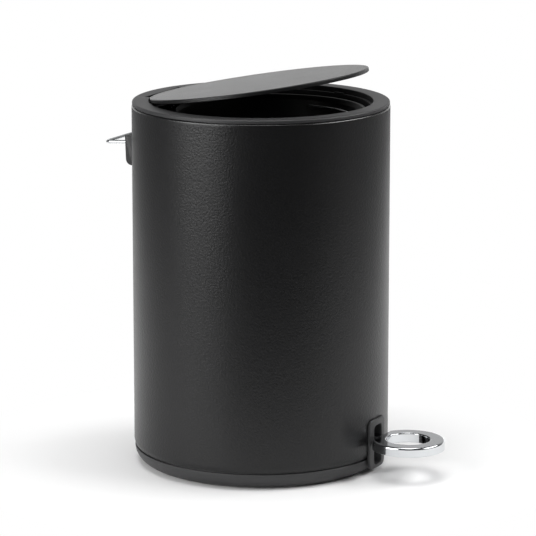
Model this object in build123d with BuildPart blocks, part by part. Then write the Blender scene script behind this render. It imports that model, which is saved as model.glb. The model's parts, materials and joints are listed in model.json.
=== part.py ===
"""Small round pedal bin: a coated steel can with a hinged flush lid, worked by a foot pedal.

Millimetres. The origin is on the can's axis at floor level, +Z is up and the pedal points to -Y.
The pose is the one in the photograph: the pedal is pressed a little and the lid stands ajar.
"""
import os
from math import cos, radians, sin, sqrt

from build123d import *

os.makedirs("parts", exist_ok=True)

# Can body, a rolled sheet tube with its top edge curled inwards
body_radius = 84.0
sheet = 0.8
base_seam = 11.6
rim_seam = 237.0
curl_radius = 1.2
curl_lip = 2.8

# Clearances
plug_gap = 0.2
slip = 0.05
side_gap = 0.5
free_gap = 0.3

# Plastic base with its non-slip foot pad
foot_thickness = 1.4
foot_inset = 6.5
base_inset = 0.5
base_wall = 2.0
base_floor = 2.0
base_edge = 4.8
base_chamfer = 0.3
base_plug = 12.4
rib_count = 8
rib_height = 5.0
rib_width = 1.6
rib_reach = 37.0

# Plastic ring that closes the top of the can
ring_inset = 0.3
ring_height = 2.6
ring_edge = 0.9
ring_wall = 1.6
ring_groove = 0.4
ring_groove_depth = 1.0
ring_skirt = 15.0
ring_land = 11.0
opening_edge = 0.5
ledge_depth = 3.6
ledge_width = 2.0
seat_depth = 8.7

# Bucket, hung by its rim a little forward of the can's axis to leave room for the push rod
bucket_shift = 6.0
bucket_rim_gap = 2.0
bucket_rim_height = 3.5
bucket_rim_width = 2.4
bucket_draw = 9.6
bucket_bottom = 46.0
bucket_wall = 1.5
bucket_corner = 5.0
rim_lip = 1.2

# Wire bail of the bucket
bail_wire = 2.0
bail_drop = 6.5
bail_inset = 4.6
bail_bend = 2.5
bail_end = 0.4

# Lid: a sheet skin with a turned-down rim over a moulded liner
lid_open = 9.1
lid_gap = 1.4
lid_proud = 0.4
lid_skin = 1.0
lid_rim_depth = 1.8
lid_rim_wall = 0.8
lid_edge = 0.7
liner_thickness = 0.8
liner_gap = 0.4
liner_ring_inset = 19.6
liner_ring_width = 1.4
liner_ring_height = 1.2
rim_notch = 28.0

# Lid hinge
hinge_setback = 1.1
hinge_drop = 3.3
pin_diameter = 2.4
barrel_radius = 2.2
barrel_half = 19.3
ear_gap = 1.2
ear_width = 5.5
ear_radius = 2.3
bay_depth = 4.6
block_side = 2.0

# Crank lug under the lid, and the push rod that lifts it
crank_radius = 10.5
crank_angle = 39.1
lug_radius = 2.4
lug_half = 3.0
lug_root = 7.0
rod_wire = 2.5
rod_offset = 9.0
rod_bend = 3.0
rod_slot_side = 3.5
rod_slot_gap = 0.9
clip_radius = 2.7
clip_thickness = 1.2
rod_tail = 1.0

# Pedal lever, a channel pressed from strip, rocking on a cross axle
lever_width = 9.0
lever_strip = 1.5
lever_web = 2.0
lever_rise = 5.3
lever_depth = 8.0
lever_setback = 2.0
lever_tongue = 18.0
lever_tail = 6.0
axle_setback = 20.0
axle_height = 14.5
axle_diameter = 4.0
rod_play = 0.6
rod_slot_reach = 2.2

# Pedal, a cast ring with a neck that reaches through the slot onto the lever
pedal_out = 23.0
pedal_radius = 23.7
pedal_hole = 14.3
neck_thickness = 4.2
pedal_thickness = 5.7
pedal_gap = 2.0
pedal_bevel = 0.7
neck_overlap = 16.0
rivet_diameter = 3.0
rivet_head = 2.6
rivet_head_height = 1.2
rivet_edge = 4.0
rivet_pitch = 7.5

# Framed slot for the pedal at the front of the can
bezel_width = 25.0
bezel_bottom = 3.5
bezel_top = 38.5
bezel_corner = 4.5
bezel_proud = 1.6
bezel_round = 0.8
slot_width = 10.5
slot_bottom = 6.0
slot_top = 32.0
slot_corner = 2.6
sleeve_wall = 1.3
sleeve_depth = 9.0
snap_height = 5.0
snap_proud = 1.2
snap_length = 2.5

# Bracket that carries the lever's axle
bracket_sheet = 1.5
bracket_half = 16.0
bracket_length = 20.0
bracket_ear_length = 11.0
bracket_ear_top = 4.5
axle_clip_radius = 3.6
axle_clip_thickness = 0.8
pivot_screw_spacing = 23.0
screw_diameter = 3.0
screw_head = 5.6
screw_head_height = 1.8

# Rubber stop under the lever
stop_setback = 9.0
stop_size = 10.0
stop_height = 2.9

# Bracket and wire loop at the back, for carrying the can
handle_half = 21.5
handle_drop = 24.0
handle_height = 20.0
handle_proud = 5.9
handle_taper = 0.8
handle_round = 4.0
handle_edge = 0.8
loop_wire = 2.4
loop_half = 18.3
loop_reach = 15.6
loop_droop = 4.0
loop_bend = 2.4
loop_corner = 3.5
loop_pin = 7.8
loop_pivot_proud = 3.2
loop_pivot_drop = 5.0
loop_channel = 4.2
loop_channel_depth = 1.7
handle_screw_half = 7.5
handle_screw_rise = 6.5
handle_screw_depth = 3.6

# Rubber buffers on the ledge, under the lid's rim
buffer_angle = 70.0
buffer_length = 9.0
buffer_width = 1.4

# Sizes that follow from those above
inner_radius = body_radius - sheet
base_radius = body_radius - base_inset
plug_radius = inner_radius - plug_gap
floor_top = foot_thickness + base_floor
foot_radius = base_radius - foot_inset
rib_inner = plug_radius - base_wall - rib_reach
ring_radius = body_radius - ring_inset
ring_top = rim_seam + ring_height
ring_plug = body_radius - curl_lip - plug_gap
opening_radius = body_radius - ring_land
ledge_height = ring_top - ledge_depth
ledge_radius = opening_radius - ledge_width
seat_height = ring_top - seat_depth
ear_inner = barrel_half + ear_gap
bay_half = ear_inner + ear_width
block_half = bay_half + block_side
bucket_rim_radius = ledge_radius - bucket_rim_gap - bucket_shift
bucket_top_radius = bucket_rim_radius - bucket_rim_width
bucket_bottom_radius = bucket_top_radius - bucket_draw
bail_radius = bucket_top_radius - bail_inset
bucket_hole = bucket_rim_radius - rim_lip - 2 * free_gap
bucket_top = seat_height + bucket_rim_height
lid_radius = opening_radius - lid_gap
liner_ring_radius = lid_radius - liner_ring_inset
hinge_y = lid_radius - hinge_setback
hinge_z = ring_top + lid_proud - hinge_drop
bay_rear = hinge_y + bay_depth
buffer_height = ledge_depth + lid_proud - lid_rim_depth - free_gap
pin_radius = pin_diameter / 2
rod_radius = rod_wire / 2
crank_rest = radians(crank_angle - lid_open)
crank_y = hinge_y - crank_radius * cos(crank_rest)
crank_z = hinge_z - crank_radius * sin(crank_rest)
rod_slot_half = rod_offset + rod_slot_side
rod_slot_front = bucket_rim_radius - bucket_shift + rod_slot_gap
rod_slot_rear = ledge_radius
sleeve_width = slot_width + 2 * sleeve_wall
sleeve_bottom = slot_bottom - sleeve_wall
sleeve_top = slot_top + sleeve_wall
slot_middle = (slot_bottom + slot_top) / 2
bezel_face = body_radius + bezel_proud
lever_top = axle_height + lever_rise
pedal_top = lever_top + neck_thickness
lever_front = body_radius - lever_setback
flange_front = lever_front - lever_tongue
pedal_reach = body_radius + pedal_out
pedal_flat = bezel_face + pedal_gap
neck_rear = lever_front - neck_overlap
rivet_first = neck_rear + rivet_edge
stop_reach = flange_front - stop_setback
handle_top = rim_seam - handle_drop
handle_bottom = handle_top - handle_height
bucket_axis = Axis((0, -bucket_shift, 0), (0, 0, 1))

# Closed-lid coordinates from the hinge axis, turned to the ajar pose
lid_plane = Plane(
    origin=(0, hinge_y, hinge_z),
    x_dir=(1, 0, 0),
    z_dir=(0, sin(radians(lid_open)), cos(radians(lid_open))),
)
lid_side = Plane(origin=lid_plane.origin, x_dir=lid_plane.y_dir, z_dir=lid_plane.x_dir)
skin_under = hinge_drop - lid_skin
liner_under = skin_under - liner_thickness
rim_under = hinge_drop - lid_rim_depth
crank_local = (
    -crank_radius * cos(radians(crank_angle)),
    -crank_radius * sin(radians(crank_angle)),
)


# Can body
with BuildPart() as shell:
    with BuildSketch(Plane.XZ):
        with BuildLine():
            wall_outside = Line((body_radius, base_seam), (body_radius, rim_seam - curl_radius))
            curl_outside = TangentArc(
                wall_outside @ 1, (body_radius - curl_radius, rim_seam), tangent=wall_outside % 1
            )
            lip_edge = Polyline(
                curl_outside @ 1,
                (body_radius - curl_lip, rim_seam),
                (body_radius - curl_lip, rim_seam - sheet),
                (body_radius - curl_radius, rim_seam - sheet),
            )
            curl_inside = TangentArc(
                lip_edge @ 1, (inner_radius, rim_seam - curl_radius), tangent=lip_edge % 1
            )
            Polyline(curl_inside @ 1, (inner_radius, base_seam), wall_outside @ 0)
        make_face()
    revolve(axis=Axis.Z)
    # Notch for the slot's sleeve, open at the bottom edge
    with BuildSketch(Plane.XZ.offset(body_radius + sheet)):
        with Locations((0, (sleeve_top + free_gap) / 2)):
            Rectangle(sleeve_width + 2 * free_gap, sleeve_top + free_gap)
    extrude(amount=-body_radius / 2, mode=Mode.SUBTRACT)
    # Holes for the screws of the carrying bracket
    with BuildSketch(Plane.XZ):
        with Locations((0, handle_bottom + handle_screw_rise)):
            with GridLocations(2 * handle_screw_half, 1, 2, 1):
                Circle(screw_diameter / 2 + slip)
    extrude(amount=-body_radius - sheet, mode=Mode.SUBTRACT)
shell.part.label = "shell"
export_step(shell.part, "parts/shell.step")


# Base
with BuildPart() as base:
    corner_radius = base_edge - base_floor
    with BuildSketch(Plane.XZ):
        with BuildLine():
            underside = Line((0, foot_thickness), (base_radius - base_edge, foot_thickness))
            lower_edge = TangentArc(
                underside @ 1, (base_radius, foot_thickness + base_edge), tangent=underside % 1
            )
            wall = Polyline(
                lower_edge @ 1,
                (base_radius, base_seam - base_chamfer),
                (base_radius - base_chamfer, base_seam),
                (plug_radius, base_seam),
                (plug_radius, base_seam + base_plug - base_chamfer),
                (plug_radius - base_chamfer, base_seam + base_plug),
                (plug_radius - base_wall, base_seam + base_plug),
                (plug_radius - base_wall, floor_top + corner_radius),
            )
            inner_corner = TangentArc(
                wall @ 1, (plug_radius - base_wall - corner_radius, floor_top), tangent=wall % 1
            )
            Polyline(inner_corner @ 1, (0, floor_top), underside @ 0)
        make_face()
    revolve(axis=Axis.Z)
    # Radial ribs on the floor, clear of the lever's path
    rib_length = plug_radius - base_wall - rib_inner + base_wall / 2
    with BuildSketch(Plane.XY.offset(floor_top)):
        with PolarLocations(rib_inner + rib_length / 2, rib_count, start_angle=180 / rib_count):
            Rectangle(rib_length, rib_width)
    extrude(amount=rib_height)
    # Notch for the slot's sleeve
    with BuildSketch(Plane.XZ.offset(body_radius + sheet)):
        with Locations((0, (sleeve_bottom - free_gap + rim_seam) / 2)):
            Rectangle(sleeve_width + 2 * free_gap, rim_seam - sleeve_bottom + free_gap)
    extrude(amount=-body_radius / 2, mode=Mode.SUBTRACT)
    # Holes for the screws of the axle bracket
    with Locations((0, -axle_setback, floor_top)):
        with GridLocations(pivot_screw_spacing, 1, 2, 1):
            Hole(screw_diameter / 2 + slip, depth=base_floor)
base.part.label = "base"
export_step(base.part, "parts/base.step")


# Non-slip pad under the base
with BuildPart() as foot_pad:
    with BuildSketch():
        Circle(foot_radius)
    extrude(amount=foot_thickness)
    chamfer(foot_pad.edges().group_by(Axis.Z)[0], foot_thickness / 4)
foot_pad.part.label = "foot_pad"
export_step(foot_pad.part, "parts/foot_pad.step")


# Top ring
with BuildPart() as top_ring:
    seat_under = seat_height - ring_wall
    channel_inner = opening_radius + ring_wall
    channel_outer = ring_plug - ring_wall
    seat_inner = bucket_hole - bucket_shift - ledge_width
    with BuildSketch(Plane.XZ):
        with BuildLine():
            land = Line((opening_radius + opening_edge, ring_top), (ring_radius - ring_edge, ring_top))
            edge_round = TangentArc(
                land @ 1, (ring_radius, ring_top - ring_edge), tangent=land % 1
            )
            Polyline(
                edge_round @ 1,
                (ring_radius, rim_seam + ring_groove),
                (ring_radius - ring_groove_depth, rim_seam + ring_groove),
                (ring_radius - ring_groove_depth, rim_seam),
                (ring_plug, rim_seam),
                (ring_plug, rim_seam - ring_skirt),
                (channel_outer, rim_seam - ring_skirt),
                (channel_outer, ring_top - ring_wall),
                (channel_inner, ring_top - ring_wall),
                (channel_inner, ledge_height - ring_wall),
                (ledge_radius + ring_wall, ledge_height - ring_wall),
                (ledge_radius + ring_wall, seat_under),
                (seat_inner, seat_under),
                (seat_inner, seat_height),
                (ledge_radius, seat_height),
                (ledge_radius, ledge_height),
                (opening_radius, ledge_height),
                (opening_radius, ring_top - opening_edge),
                land @ 0,
            )
        make_face()
    revolve(axis=Axis.Z)
    # Seat for the bucket's rim
    with BuildSketch(Plane.XY.offset(seat_under)):
        with Locations((0, -bucket_shift)):
            Circle(bucket_hole)
    extrude(amount=seat_height - seat_under, mode=Mode.SUBTRACT)
    # Solid block behind the opening, with the hinge bay cut into it
    with BuildSketch(Plane.XY.offset(seat_under)):
        Circle(channel_outer + ring_wall / 2)
        Circle(opening_radius, mode=Mode.SUBTRACT)
        with Locations((0, body_radius / 2)):
            Rectangle(2 * block_half, body_radius, mode=Mode.INTERSECT)
    extrude(amount=ring_top - ring_wall / 2 - seat_under)
    with BuildSketch(Plane.XY.offset(seat_height)):
        with Locations((0, bay_rear / 2)):
            Rectangle(2 * bay_half, bay_rear)
    extrude(amount=seat_depth, mode=Mode.SUBTRACT)
    # Ears that hold the hinge pin
    with BuildSketch(Plane.YZ.offset(ear_inner)):
        with Locations((hinge_y, hinge_z)):
            Circle(ear_radius)
        with Locations((hinge_y, (hinge_z + seat_height) / 2)):
            Rectangle(2 * ear_radius, hinge_z - seat_height)
    extrude(amount=ear_width)
    with BuildSketch(Plane.YZ.offset(-ear_inner)):
        with Locations((hinge_y, hinge_z)):
            Circle(ear_radius)
        with Locations((hinge_y, (hinge_z + seat_height) / 2)):
            Rectangle(2 * ear_radius, hinge_z - seat_height)
    extrude(amount=-ear_width)
    # The pin is pushed in from one side, through the end of the block
    with BuildSketch(Plane.YZ.offset(-ear_inner - ear_width)):
        with Locations((hinge_y, hinge_z)):
            Circle(pin_radius + slip)
    extrude(amount=ear_inner + ear_width + block_half, mode=Mode.SUBTRACT)
    # Way through the seat for the push rod and the crank lug
    with BuildSketch(Plane.XY.offset(seat_under)):
        with Locations((0, (rod_slot_front + rod_slot_rear) / 2)):
            RectangleRounded(2 * rod_slot_half, rod_slot_rear - rod_slot_front, ring_wall)
    extrude(amount=ring_wall, mode=Mode.SUBTRACT)
top_ring.part.label = "top_ring"
export_step(top_ring.part, "parts/top_ring.step")


# Rubber buffers on the ledge
with BuildPart() as lid_buffers:
    with BuildSketch(Plane.XY.offset(ledge_height)):
        with PolarLocations(
            ledge_radius + buffer_width / 2,
            2,
            start_angle=-90 - buffer_angle,
            angular_range=2 * buffer_angle,
            endpoint=True,
        ):
            Rectangle(buffer_width, buffer_length)
    extrude(amount=buffer_height)
lid_buffers.part.label = "lid_buffers"
export_step(lid_buffers.part, "parts/lid_buffers.step")


# Lid skin
with BuildPart() as lid:
    with BuildSketch(lid_plane.offset(rim_under)):
        with Locations((0, -hinge_y)):
            Circle(lid_radius)
    extrude(amount=lid_rim_depth)
    fillet(lid.faces().sort_by(Axis.Z)[-1].edges(), lid_edge)
    with BuildSketch(lid_plane.offset(rim_under)):
        with Locations((0, -hinge_y)):
            Circle(lid_radius - lid_rim_wall)
    extrude(amount=lid_rim_depth - lid_skin, mode=Mode.SUBTRACT)
    # The rim stops short of the hinge
    with BuildSketch(lid_plane.offset(rim_under)):
        Rectangle(2 * rim_notch, 4 * crank_radius)
    extrude(amount=lid_rim_depth - lid_skin, mode=Mode.SUBTRACT)
lid.part.label = "lid"
export_step(lid.part, "parts/lid.step")


# Liner under the lid, with the hinge barrel and the crank lug
with BuildPart() as lid_liner:
    liner_radius = lid_radius - lid_rim_wall - liner_gap
    with BuildSketch(lid_plane.offset(liner_under)):
        with Locations((0, -hinge_y)):
            Circle(liner_radius)
    extrude(amount=liner_thickness)
    with BuildSketch(lid_plane.offset(liner_under)):
        with Locations((0, -hinge_y)):
            Circle(liner_ring_radius + liner_ring_width / 2)
            Circle(liner_ring_radius - liner_ring_width / 2, mode=Mode.SUBTRACT)
    extrude(amount=-liner_ring_height)
    with BuildSketch(lid_plane.offset(liner_under)):
        with Locations((0, -lug_root / 2)):
            Rectangle(2 * barrel_half, lug_root)
    extrude(amount=liner_thickness)
    with BuildSketch(lid_side):
        Circle(barrel_radius)
    extrude(amount=barrel_half, both=True)
    with BuildSketch(lid_side):
        with Locations(crank_local):
            Circle(lug_radius)
        with Locations((crank_local[0], liner_under + liner_thickness / 2)):
            Rectangle(lug_root, liner_thickness)
        make_hull()
    extrude(amount=lug_half, both=True)
    with BuildSketch(lid_side):
        Circle(pin_radius + slip)
        with Locations(crank_local):
            Circle(rod_radius + slip)
    extrude(amount=barrel_half, both=True, mode=Mode.SUBTRACT)
lid_liner.part.label = "lid_liner"
export_step(lid_liner.part, "parts/lid_liner.step")


# Hinge pin
with BuildPart() as hinge_pin:
    with BuildSketch(Plane.YZ):
        with Locations((hinge_y, hinge_z)):
            Circle(pin_radius)
    extrude(amount=ear_inner + ear_width, both=True)
    chamfer(hinge_pin.edges().filter_by(GeomType.CIRCLE), pin_radius / 4)
hinge_pin.part.label = "hinge_pin"
export_step(hinge_pin.part, "parts/hinge_pin.step")


# Push rod, bent over at both ends
rod_upper_end = -lug_half - free_gap - clip_thickness - rod_tail
rod_lower_end = -lever_width / 2 - side_gap - clip_thickness - rod_tail
rod_plane = Plane(origin=(0, crank_y, 0), x_dir=(1, 0, 0), z_dir=(0, -1, 0))
with BuildPart() as push_rod:
    with BuildLine(rod_plane) as rod_path:
        FilletPolyline(
            (rod_upper_end, crank_z),
            (rod_offset, crank_z),
            (rod_offset, axle_height),
            (rod_lower_end, axle_height),
            radius=rod_bend,
        )
    with BuildSketch(Plane(origin=rod_path.line @ 0, z_dir=rod_path.line % 0)):
        Circle(rod_radius)
    sweep()
push_rod.part.label = "push_rod"
export_step(push_rod.part, "parts/push_rod.step")


# Push-on clips that keep the rod in the lug and in the lever
with BuildPart() as upper_rod_clip:
    with BuildSketch(Plane.YZ.offset(-lug_half - free_gap)):
        with Locations((crank_y, crank_z)):
            Circle(clip_radius)
            Circle(rod_radius + slip, mode=Mode.SUBTRACT)
    extrude(amount=-clip_thickness)
upper_rod_clip.part.label = "upper_rod_clip"
export_step(upper_rod_clip.part, "parts/upper_rod_clip.step")

with BuildPart() as lower_rod_clip:
    with BuildSketch(Plane.YZ.offset(-lever_width / 2 - side_gap)):
        with Locations((crank_y, axle_height)):
            Circle(clip_radius)
            Circle(rod_radius + slip, mode=Mode.SUBTRACT)
    extrude(amount=-clip_thickness)
lower_rod_clip.part.label = "lower_rod_clip"
export_step(lower_rod_clip.part, "parts/lower_rod_clip.step")


# Pedal lever
rivet_places = [(0, -rivet_first), (0, -rivet_first - rivet_pitch)]
with BuildPart() as pedal_lever:
    lever_rear = crank_y + lever_tail
    lever_under = lever_top - lever_depth
    with BuildSketch(Plane.YZ):
        with BuildLine():
            Polyline(
                (-lever_front, lever_top),
                (lever_rear, lever_top),
                (lever_rear, lever_under),
                (-flange_front + lever_depth, lever_under),
                (-flange_front, lever_top - lever_web),
                (-lever_front, lever_top - lever_web),
                close=True,
            )
        make_face()
    extrude(amount=lever_width / 2, both=True)
    fillet(pedal_lever.edges().filter_by(Axis.Z).group_by(Axis.Y)[0], lever_width / 4)
    # Hollow of the channel between its two flanges
    with BuildSketch(Plane.XY.offset(lever_under)):
        with Locations((0, (lever_rear - flange_front) / 2)):
            Rectangle(lever_width - 2 * lever_strip, lever_rear + flange_front + lever_tail)
    extrude(amount=lever_depth - lever_web, mode=Mode.SUBTRACT)
    # Axle hole, and the slot in which the rod's lower end slides
    with BuildSketch(Plane.YZ):
        with Locations((-axle_setback, axle_height)):
            Circle(axle_diameter / 2 + slip)
        with Locations((crank_y, axle_height)):
            SlotCenterToCenter(2 * rod_slot_reach, rod_wire + 2 * rod_play)
    extrude(amount=lever_width, both=True, mode=Mode.SUBTRACT)
    with BuildSketch(Plane.XY.offset(lever_top)):
        with Locations(*rivet_places):
            Circle(rivet_diameter / 2 + slip)
    extrude(amount=-lever_web, mode=Mode.SUBTRACT)
pedal_lever.part.label = "pedal_lever"
export_step(pedal_lever.part, "parts/pedal_lever.step")


# Pedal ring with its neck
with BuildPart() as pedal_ring:
    with BuildSketch(Plane.XY.offset(pedal_top - pedal_thickness)):
        with Locations((0, -pedal_reach)):
            Circle(pedal_radius)
        with Locations((0, -pedal_flat - pedal_reach / 2)):
            Rectangle(4 * pedal_radius, pedal_reach, mode=Mode.INTERSECT)
        with Locations((0, -pedal_reach)):
            Circle(pedal_hole, mode=Mode.SUBTRACT)
    extrude(amount=pedal_thickness)
    chamfer(pedal_ring.faces().sort_by(Axis.Z)[-1].edges(), pedal_bevel)
    with BuildSketch(Plane.XY.offset(lever_top)):
        with Locations((0, -(pedal_flat + neck_rear + pedal_bevel) / 2)):
            Rectangle(lever_width, pedal_flat - neck_rear + pedal_bevel)
    extrude(amount=pedal_top - lever_top)
    with BuildSketch(Plane.XY.offset(lever_top)):
        with Locations(*rivet_places):
            Circle(rivet_diameter / 2 + slip)
    extrude(amount=pedal_top - lever_top, mode=Mode.SUBTRACT)
pedal_ring.part.label = "pedal_ring"
export_step(pedal_ring.part, "parts/pedal_ring.step")


# Rivets through the neck and the lever
with BuildPart() as pedal_rivets:
    rivet_foot = lever_top - lever_web
    with BuildSketch(Plane.XY.offset(rivet_foot - rivet_head_height)):
        with Locations(*rivet_places):
            Circle(rivet_head)
    extrude(amount=rivet_head_height)
    with BuildSketch(Plane.XY.offset(pedal_top)):
        with Locations(*rivet_places):
            Circle(rivet_head)
    extrude(amount=rivet_head_height)
    fillet(pedal_rivets.edges().group_by(Axis.Z)[-1], rivet_head_height / 2)
    with BuildSketch(Plane.XY.offset(rivet_foot)):
        with Locations(*rivet_places):
            Circle(rivet_diameter / 2)
    extrude(amount=pedal_top - rivet_foot)
pedal_rivets.part.label = "pedal_rivets"
export_step(pedal_rivets.part, "parts/pedal_rivets.step")


# Framed slot
with BuildPart() as slot_bezel:
    with BuildSketch(Plane.XZ.offset(bezel_face)):
        with Locations((0, (bezel_bottom + bezel_top) / 2)):
            RectangleRounded(bezel_width, bezel_top - bezel_bottom, bezel_corner)
    extrude(amount=-2 * bezel_proud - sheet)
    fillet(slot_bezel.faces().sort_by(Axis.Y)[0].edges(), bezel_round)
    # The back of the frame follows the can, and the base below the seam
    with BuildSketch(Plane.XY.offset(base_seam - plug_gap)):
        Circle(body_radius + plug_gap)
    extrude(amount=bezel_top, mode=Mode.SUBTRACT)
    with BuildSketch(Plane.XY):
        Circle(base_radius + plug_gap)
    extrude(amount=base_seam, mode=Mode.SUBTRACT)
    # Sleeve through the wall
    with BuildSketch(Plane.XZ.offset(body_radius + plug_gap + bezel_round)):
        with Locations((0, slot_middle)):
            RectangleRounded(sleeve_width, sleeve_top - sleeve_bottom, slot_corner + sleeve_wall)
    extrude(amount=-sleeve_depth)
    # Snap noses behind the wall
    with BuildSketch(Plane.XY.offset(sleeve_top - slot_corner - sleeve_wall - snap_height)):
        nose_front = sqrt(inner_radius**2 - (sleeve_width / 2) ** 2) - plug_gap
        with BuildLine():
            Polyline(
                (0, -nose_front),
                (sleeve_width / 2 + snap_proud, -nose_front + snap_proud / 4),
                (sleeve_width / 2, -nose_front + snap_length),
                (-sleeve_width / 2, -nose_front + snap_length),
                (-sleeve_width / 2 - snap_proud, -nose_front + snap_proud / 4),
                close=True,
            )
        make_face()
    extrude(amount=snap_height)
    with BuildSketch(Plane.XZ.offset(bezel_face)):
        with Locations((0, slot_middle)):
            RectangleRounded(slot_width, slot_top - slot_bottom, slot_corner)
    extrude(amount=-2 * sleeve_depth, mode=Mode.SUBTRACT)
slot_bezel.part.label = "slot_bezel"
export_step(slot_bezel.part, "parts/slot_bezel.step")


# Bracket that carries the axle
with BuildPart() as axle_bracket:
    ear_face = lever_width / 2 + side_gap
    with BuildSketch(Plane.XY.offset(floor_top)):
        with Locations((0, -axle_setback)):
            RectangleRounded(2 * bracket_half, bracket_length, 2 * bracket_sheet)
    extrude(amount=bracket_sheet)
    ear_planes = [Plane.YZ.offset(ear_face), Plane.YZ.offset(-ear_face - bracket_sheet)]
    for ear_plane in ear_planes:
        with BuildSketch(ear_plane):
            with Locations((-axle_setback, axle_height)):
                Circle(bracket_ear_top)
            with Locations((-axle_setback, floor_top + bracket_sheet / 2)):
                Rectangle(bracket_ear_length, bracket_sheet)
            make_hull()
        extrude(amount=bracket_sheet)
    with BuildSketch(Plane.YZ):
        with Locations((-axle_setback, axle_height)):
            Circle(axle_diameter / 2 + slip)
    extrude(amount=bracket_half, both=True, mode=Mode.SUBTRACT)
    with BuildSketch(Plane.XY.offset(floor_top)):
        with Locations((0, -axle_setback)):
            with GridLocations(pivot_screw_spacing, 1, 2, 1):
                Circle(screw_diameter / 2 + slip)
    extrude(amount=bracket_sheet, mode=Mode.SUBTRACT)
axle_bracket.part.label = "axle_bracket"
export_step(axle_bracket.part, "parts/axle_bracket.step")


# Axle, and the clips on its ends
clip_start = ear_face + bracket_sheet + slip
axle_half = clip_start + axle_clip_thickness + rod_tail
with BuildPart() as pedal_axle:
    with BuildSketch(Plane.YZ):
        with Locations((-axle_setback, axle_height)):
            Circle(axle_diameter / 2)
    extrude(amount=axle_half, both=True)
    chamfer(pedal_axle.edges().filter_by(GeomType.CIRCLE), axle_diameter / 10)
pedal_axle.part.label = "pedal_axle"
export_step(pedal_axle.part, "parts/pedal_axle.step")

with BuildPart() as axle_clips:
    clip_planes = [
        Plane.YZ.offset(clip_start),
        Plane.YZ.offset(-clip_start - axle_clip_thickness),
    ]
    for clip_plane in clip_planes:
        with BuildSketch(clip_plane):
            with Locations((-axle_setback, axle_height)):
                Circle(axle_clip_radius)
                Circle(axle_diameter / 2 + slip, mode=Mode.SUBTRACT)
        extrude(amount=axle_clip_thickness)
axle_clips.part.label = "axle_clips"
export_step(axle_clips.part, "parts/axle_clips.step")


# Screws of the axle bracket
with BuildPart() as pivot_screws:
    screw_seat = floor_top + bracket_sheet
    with BuildSketch(Plane.XY.offset(screw_seat)):
        with Locations((0, -axle_setback)):
            with GridLocations(pivot_screw_spacing, 1, 2, 1):
                Circle(screw_head / 2)
    extrude(amount=screw_head_height)
    fillet(pivot_screws.edges().group_by(Axis.Z)[-1], screw_head_height / 3)
    with BuildSketch(Plane.XY.offset(foot_thickness)):
        with Locations((0, -axle_setback)):
            with GridLocations(pivot_screw_spacing, 1, 2, 1):
                Circle(screw_diameter / 2)
    extrude(amount=screw_seat - foot_thickness)
pivot_screws.part.label = "pivot_screws"
export_step(pivot_screws.part, "parts/pivot_screws.step")


# Rubber stop for the pressed lever
with BuildPart() as lever_stop:
    with BuildSketch(Plane.XY.offset(floor_top)):
        with Locations((0, -stop_reach)):
            RectangleRounded(stop_size, stop_size, stop_size / 5)
    extrude(amount=stop_height)
lever_stop.part.label = "lever_stop"
export_step(lever_stop.part, "parts/lever_stop.step")


# Bucket with a turned-over rim
with BuildPart() as bucket:
    taper = (bucket_top_radius - bucket_bottom_radius) / (bucket_top - bucket_bottom)
    with BuildSketch(Plane(origin=(0, -bucket_shift, 0), x_dir=(1, 0, 0), z_dir=(0, -1, 0))):
        with BuildLine():
            Polyline(
                (0, bucket_bottom),
                (bucket_bottom_radius, bucket_bottom),
                (bucket_top_radius - taper * rim_lip, bucket_top - rim_lip),
                (bucket_rim_radius - rim_lip, bucket_top - rim_lip),
                (bucket_rim_radius - rim_lip, seat_height),
                (bucket_rim_radius, seat_height),
                (bucket_rim_radius, bucket_top),
                (bucket_top_radius - bucket_wall, bucket_top),
                (bucket_bottom_radius - bucket_wall + taper * bucket_wall, bucket_bottom + bucket_wall),
                (0, bucket_bottom + bucket_wall),
                close=True,
            )
        make_face()
    revolve(axis=bucket_axis)
    floor_edges = bucket.edges().filter_by(GeomType.CIRCLE).group_by(Axis.Z)
    fillet(floor_edges[0], bucket_corner)
    inside_floor = bucket.edges().filter_by(GeomType.CIRCLE).filter_by(
        lambda edge: abs(edge.center().Z - bucket_bottom - bucket_wall) < bucket_wall / 10
    )
    fillet(inside_floor, bucket_corner - bucket_wall)
    rim_edges = bucket.edges().filter_by(GeomType.CIRCLE).group_by(Axis.Z)[-1]
    fillet(rim_edges, rim_lip / 2)
    # Holes for the ends of the bail
    with BuildSketch(Plane.YZ):
        with Locations((-bucket_shift, bucket_top - bail_drop)):
            Circle(bail_wire / 2 + slip)
    extrude(amount=bucket_rim_radius, both=True, mode=Mode.SUBTRACT)
bucket.part.label = "bucket"
export_step(bucket.part, "parts/bucket.step")


# Bail, folded down to the front inside the bucket
bail_plane = Plane(origin=(0, -bucket_shift, bucket_top - bail_drop))
bail_tip = bucket_top_radius + bail_end
with BuildPart() as bucket_bail:
    with BuildLine(bail_plane) as bail_path:
        Line((bail_tip, 0), (bail_radius, 0))
        CenterArc((0, 0), bail_radius, 0, -180)
        Line((-bail_radius, 0), (-bail_tip, 0))
        bail_corners = bail_path.vertices().sort_by(Axis.X)[1:3]
        fillet(bail_corners, bail_bend)
    with BuildSketch(Plane(origin=bail_path.line @ 0, z_dir=bail_path.line % 0)):
        Circle(bail_wire / 2)
    sweep()
bucket_bail.part.label = "bucket_bail"
export_step(bucket_bail.part, "parts/bucket_bail.step")


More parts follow.
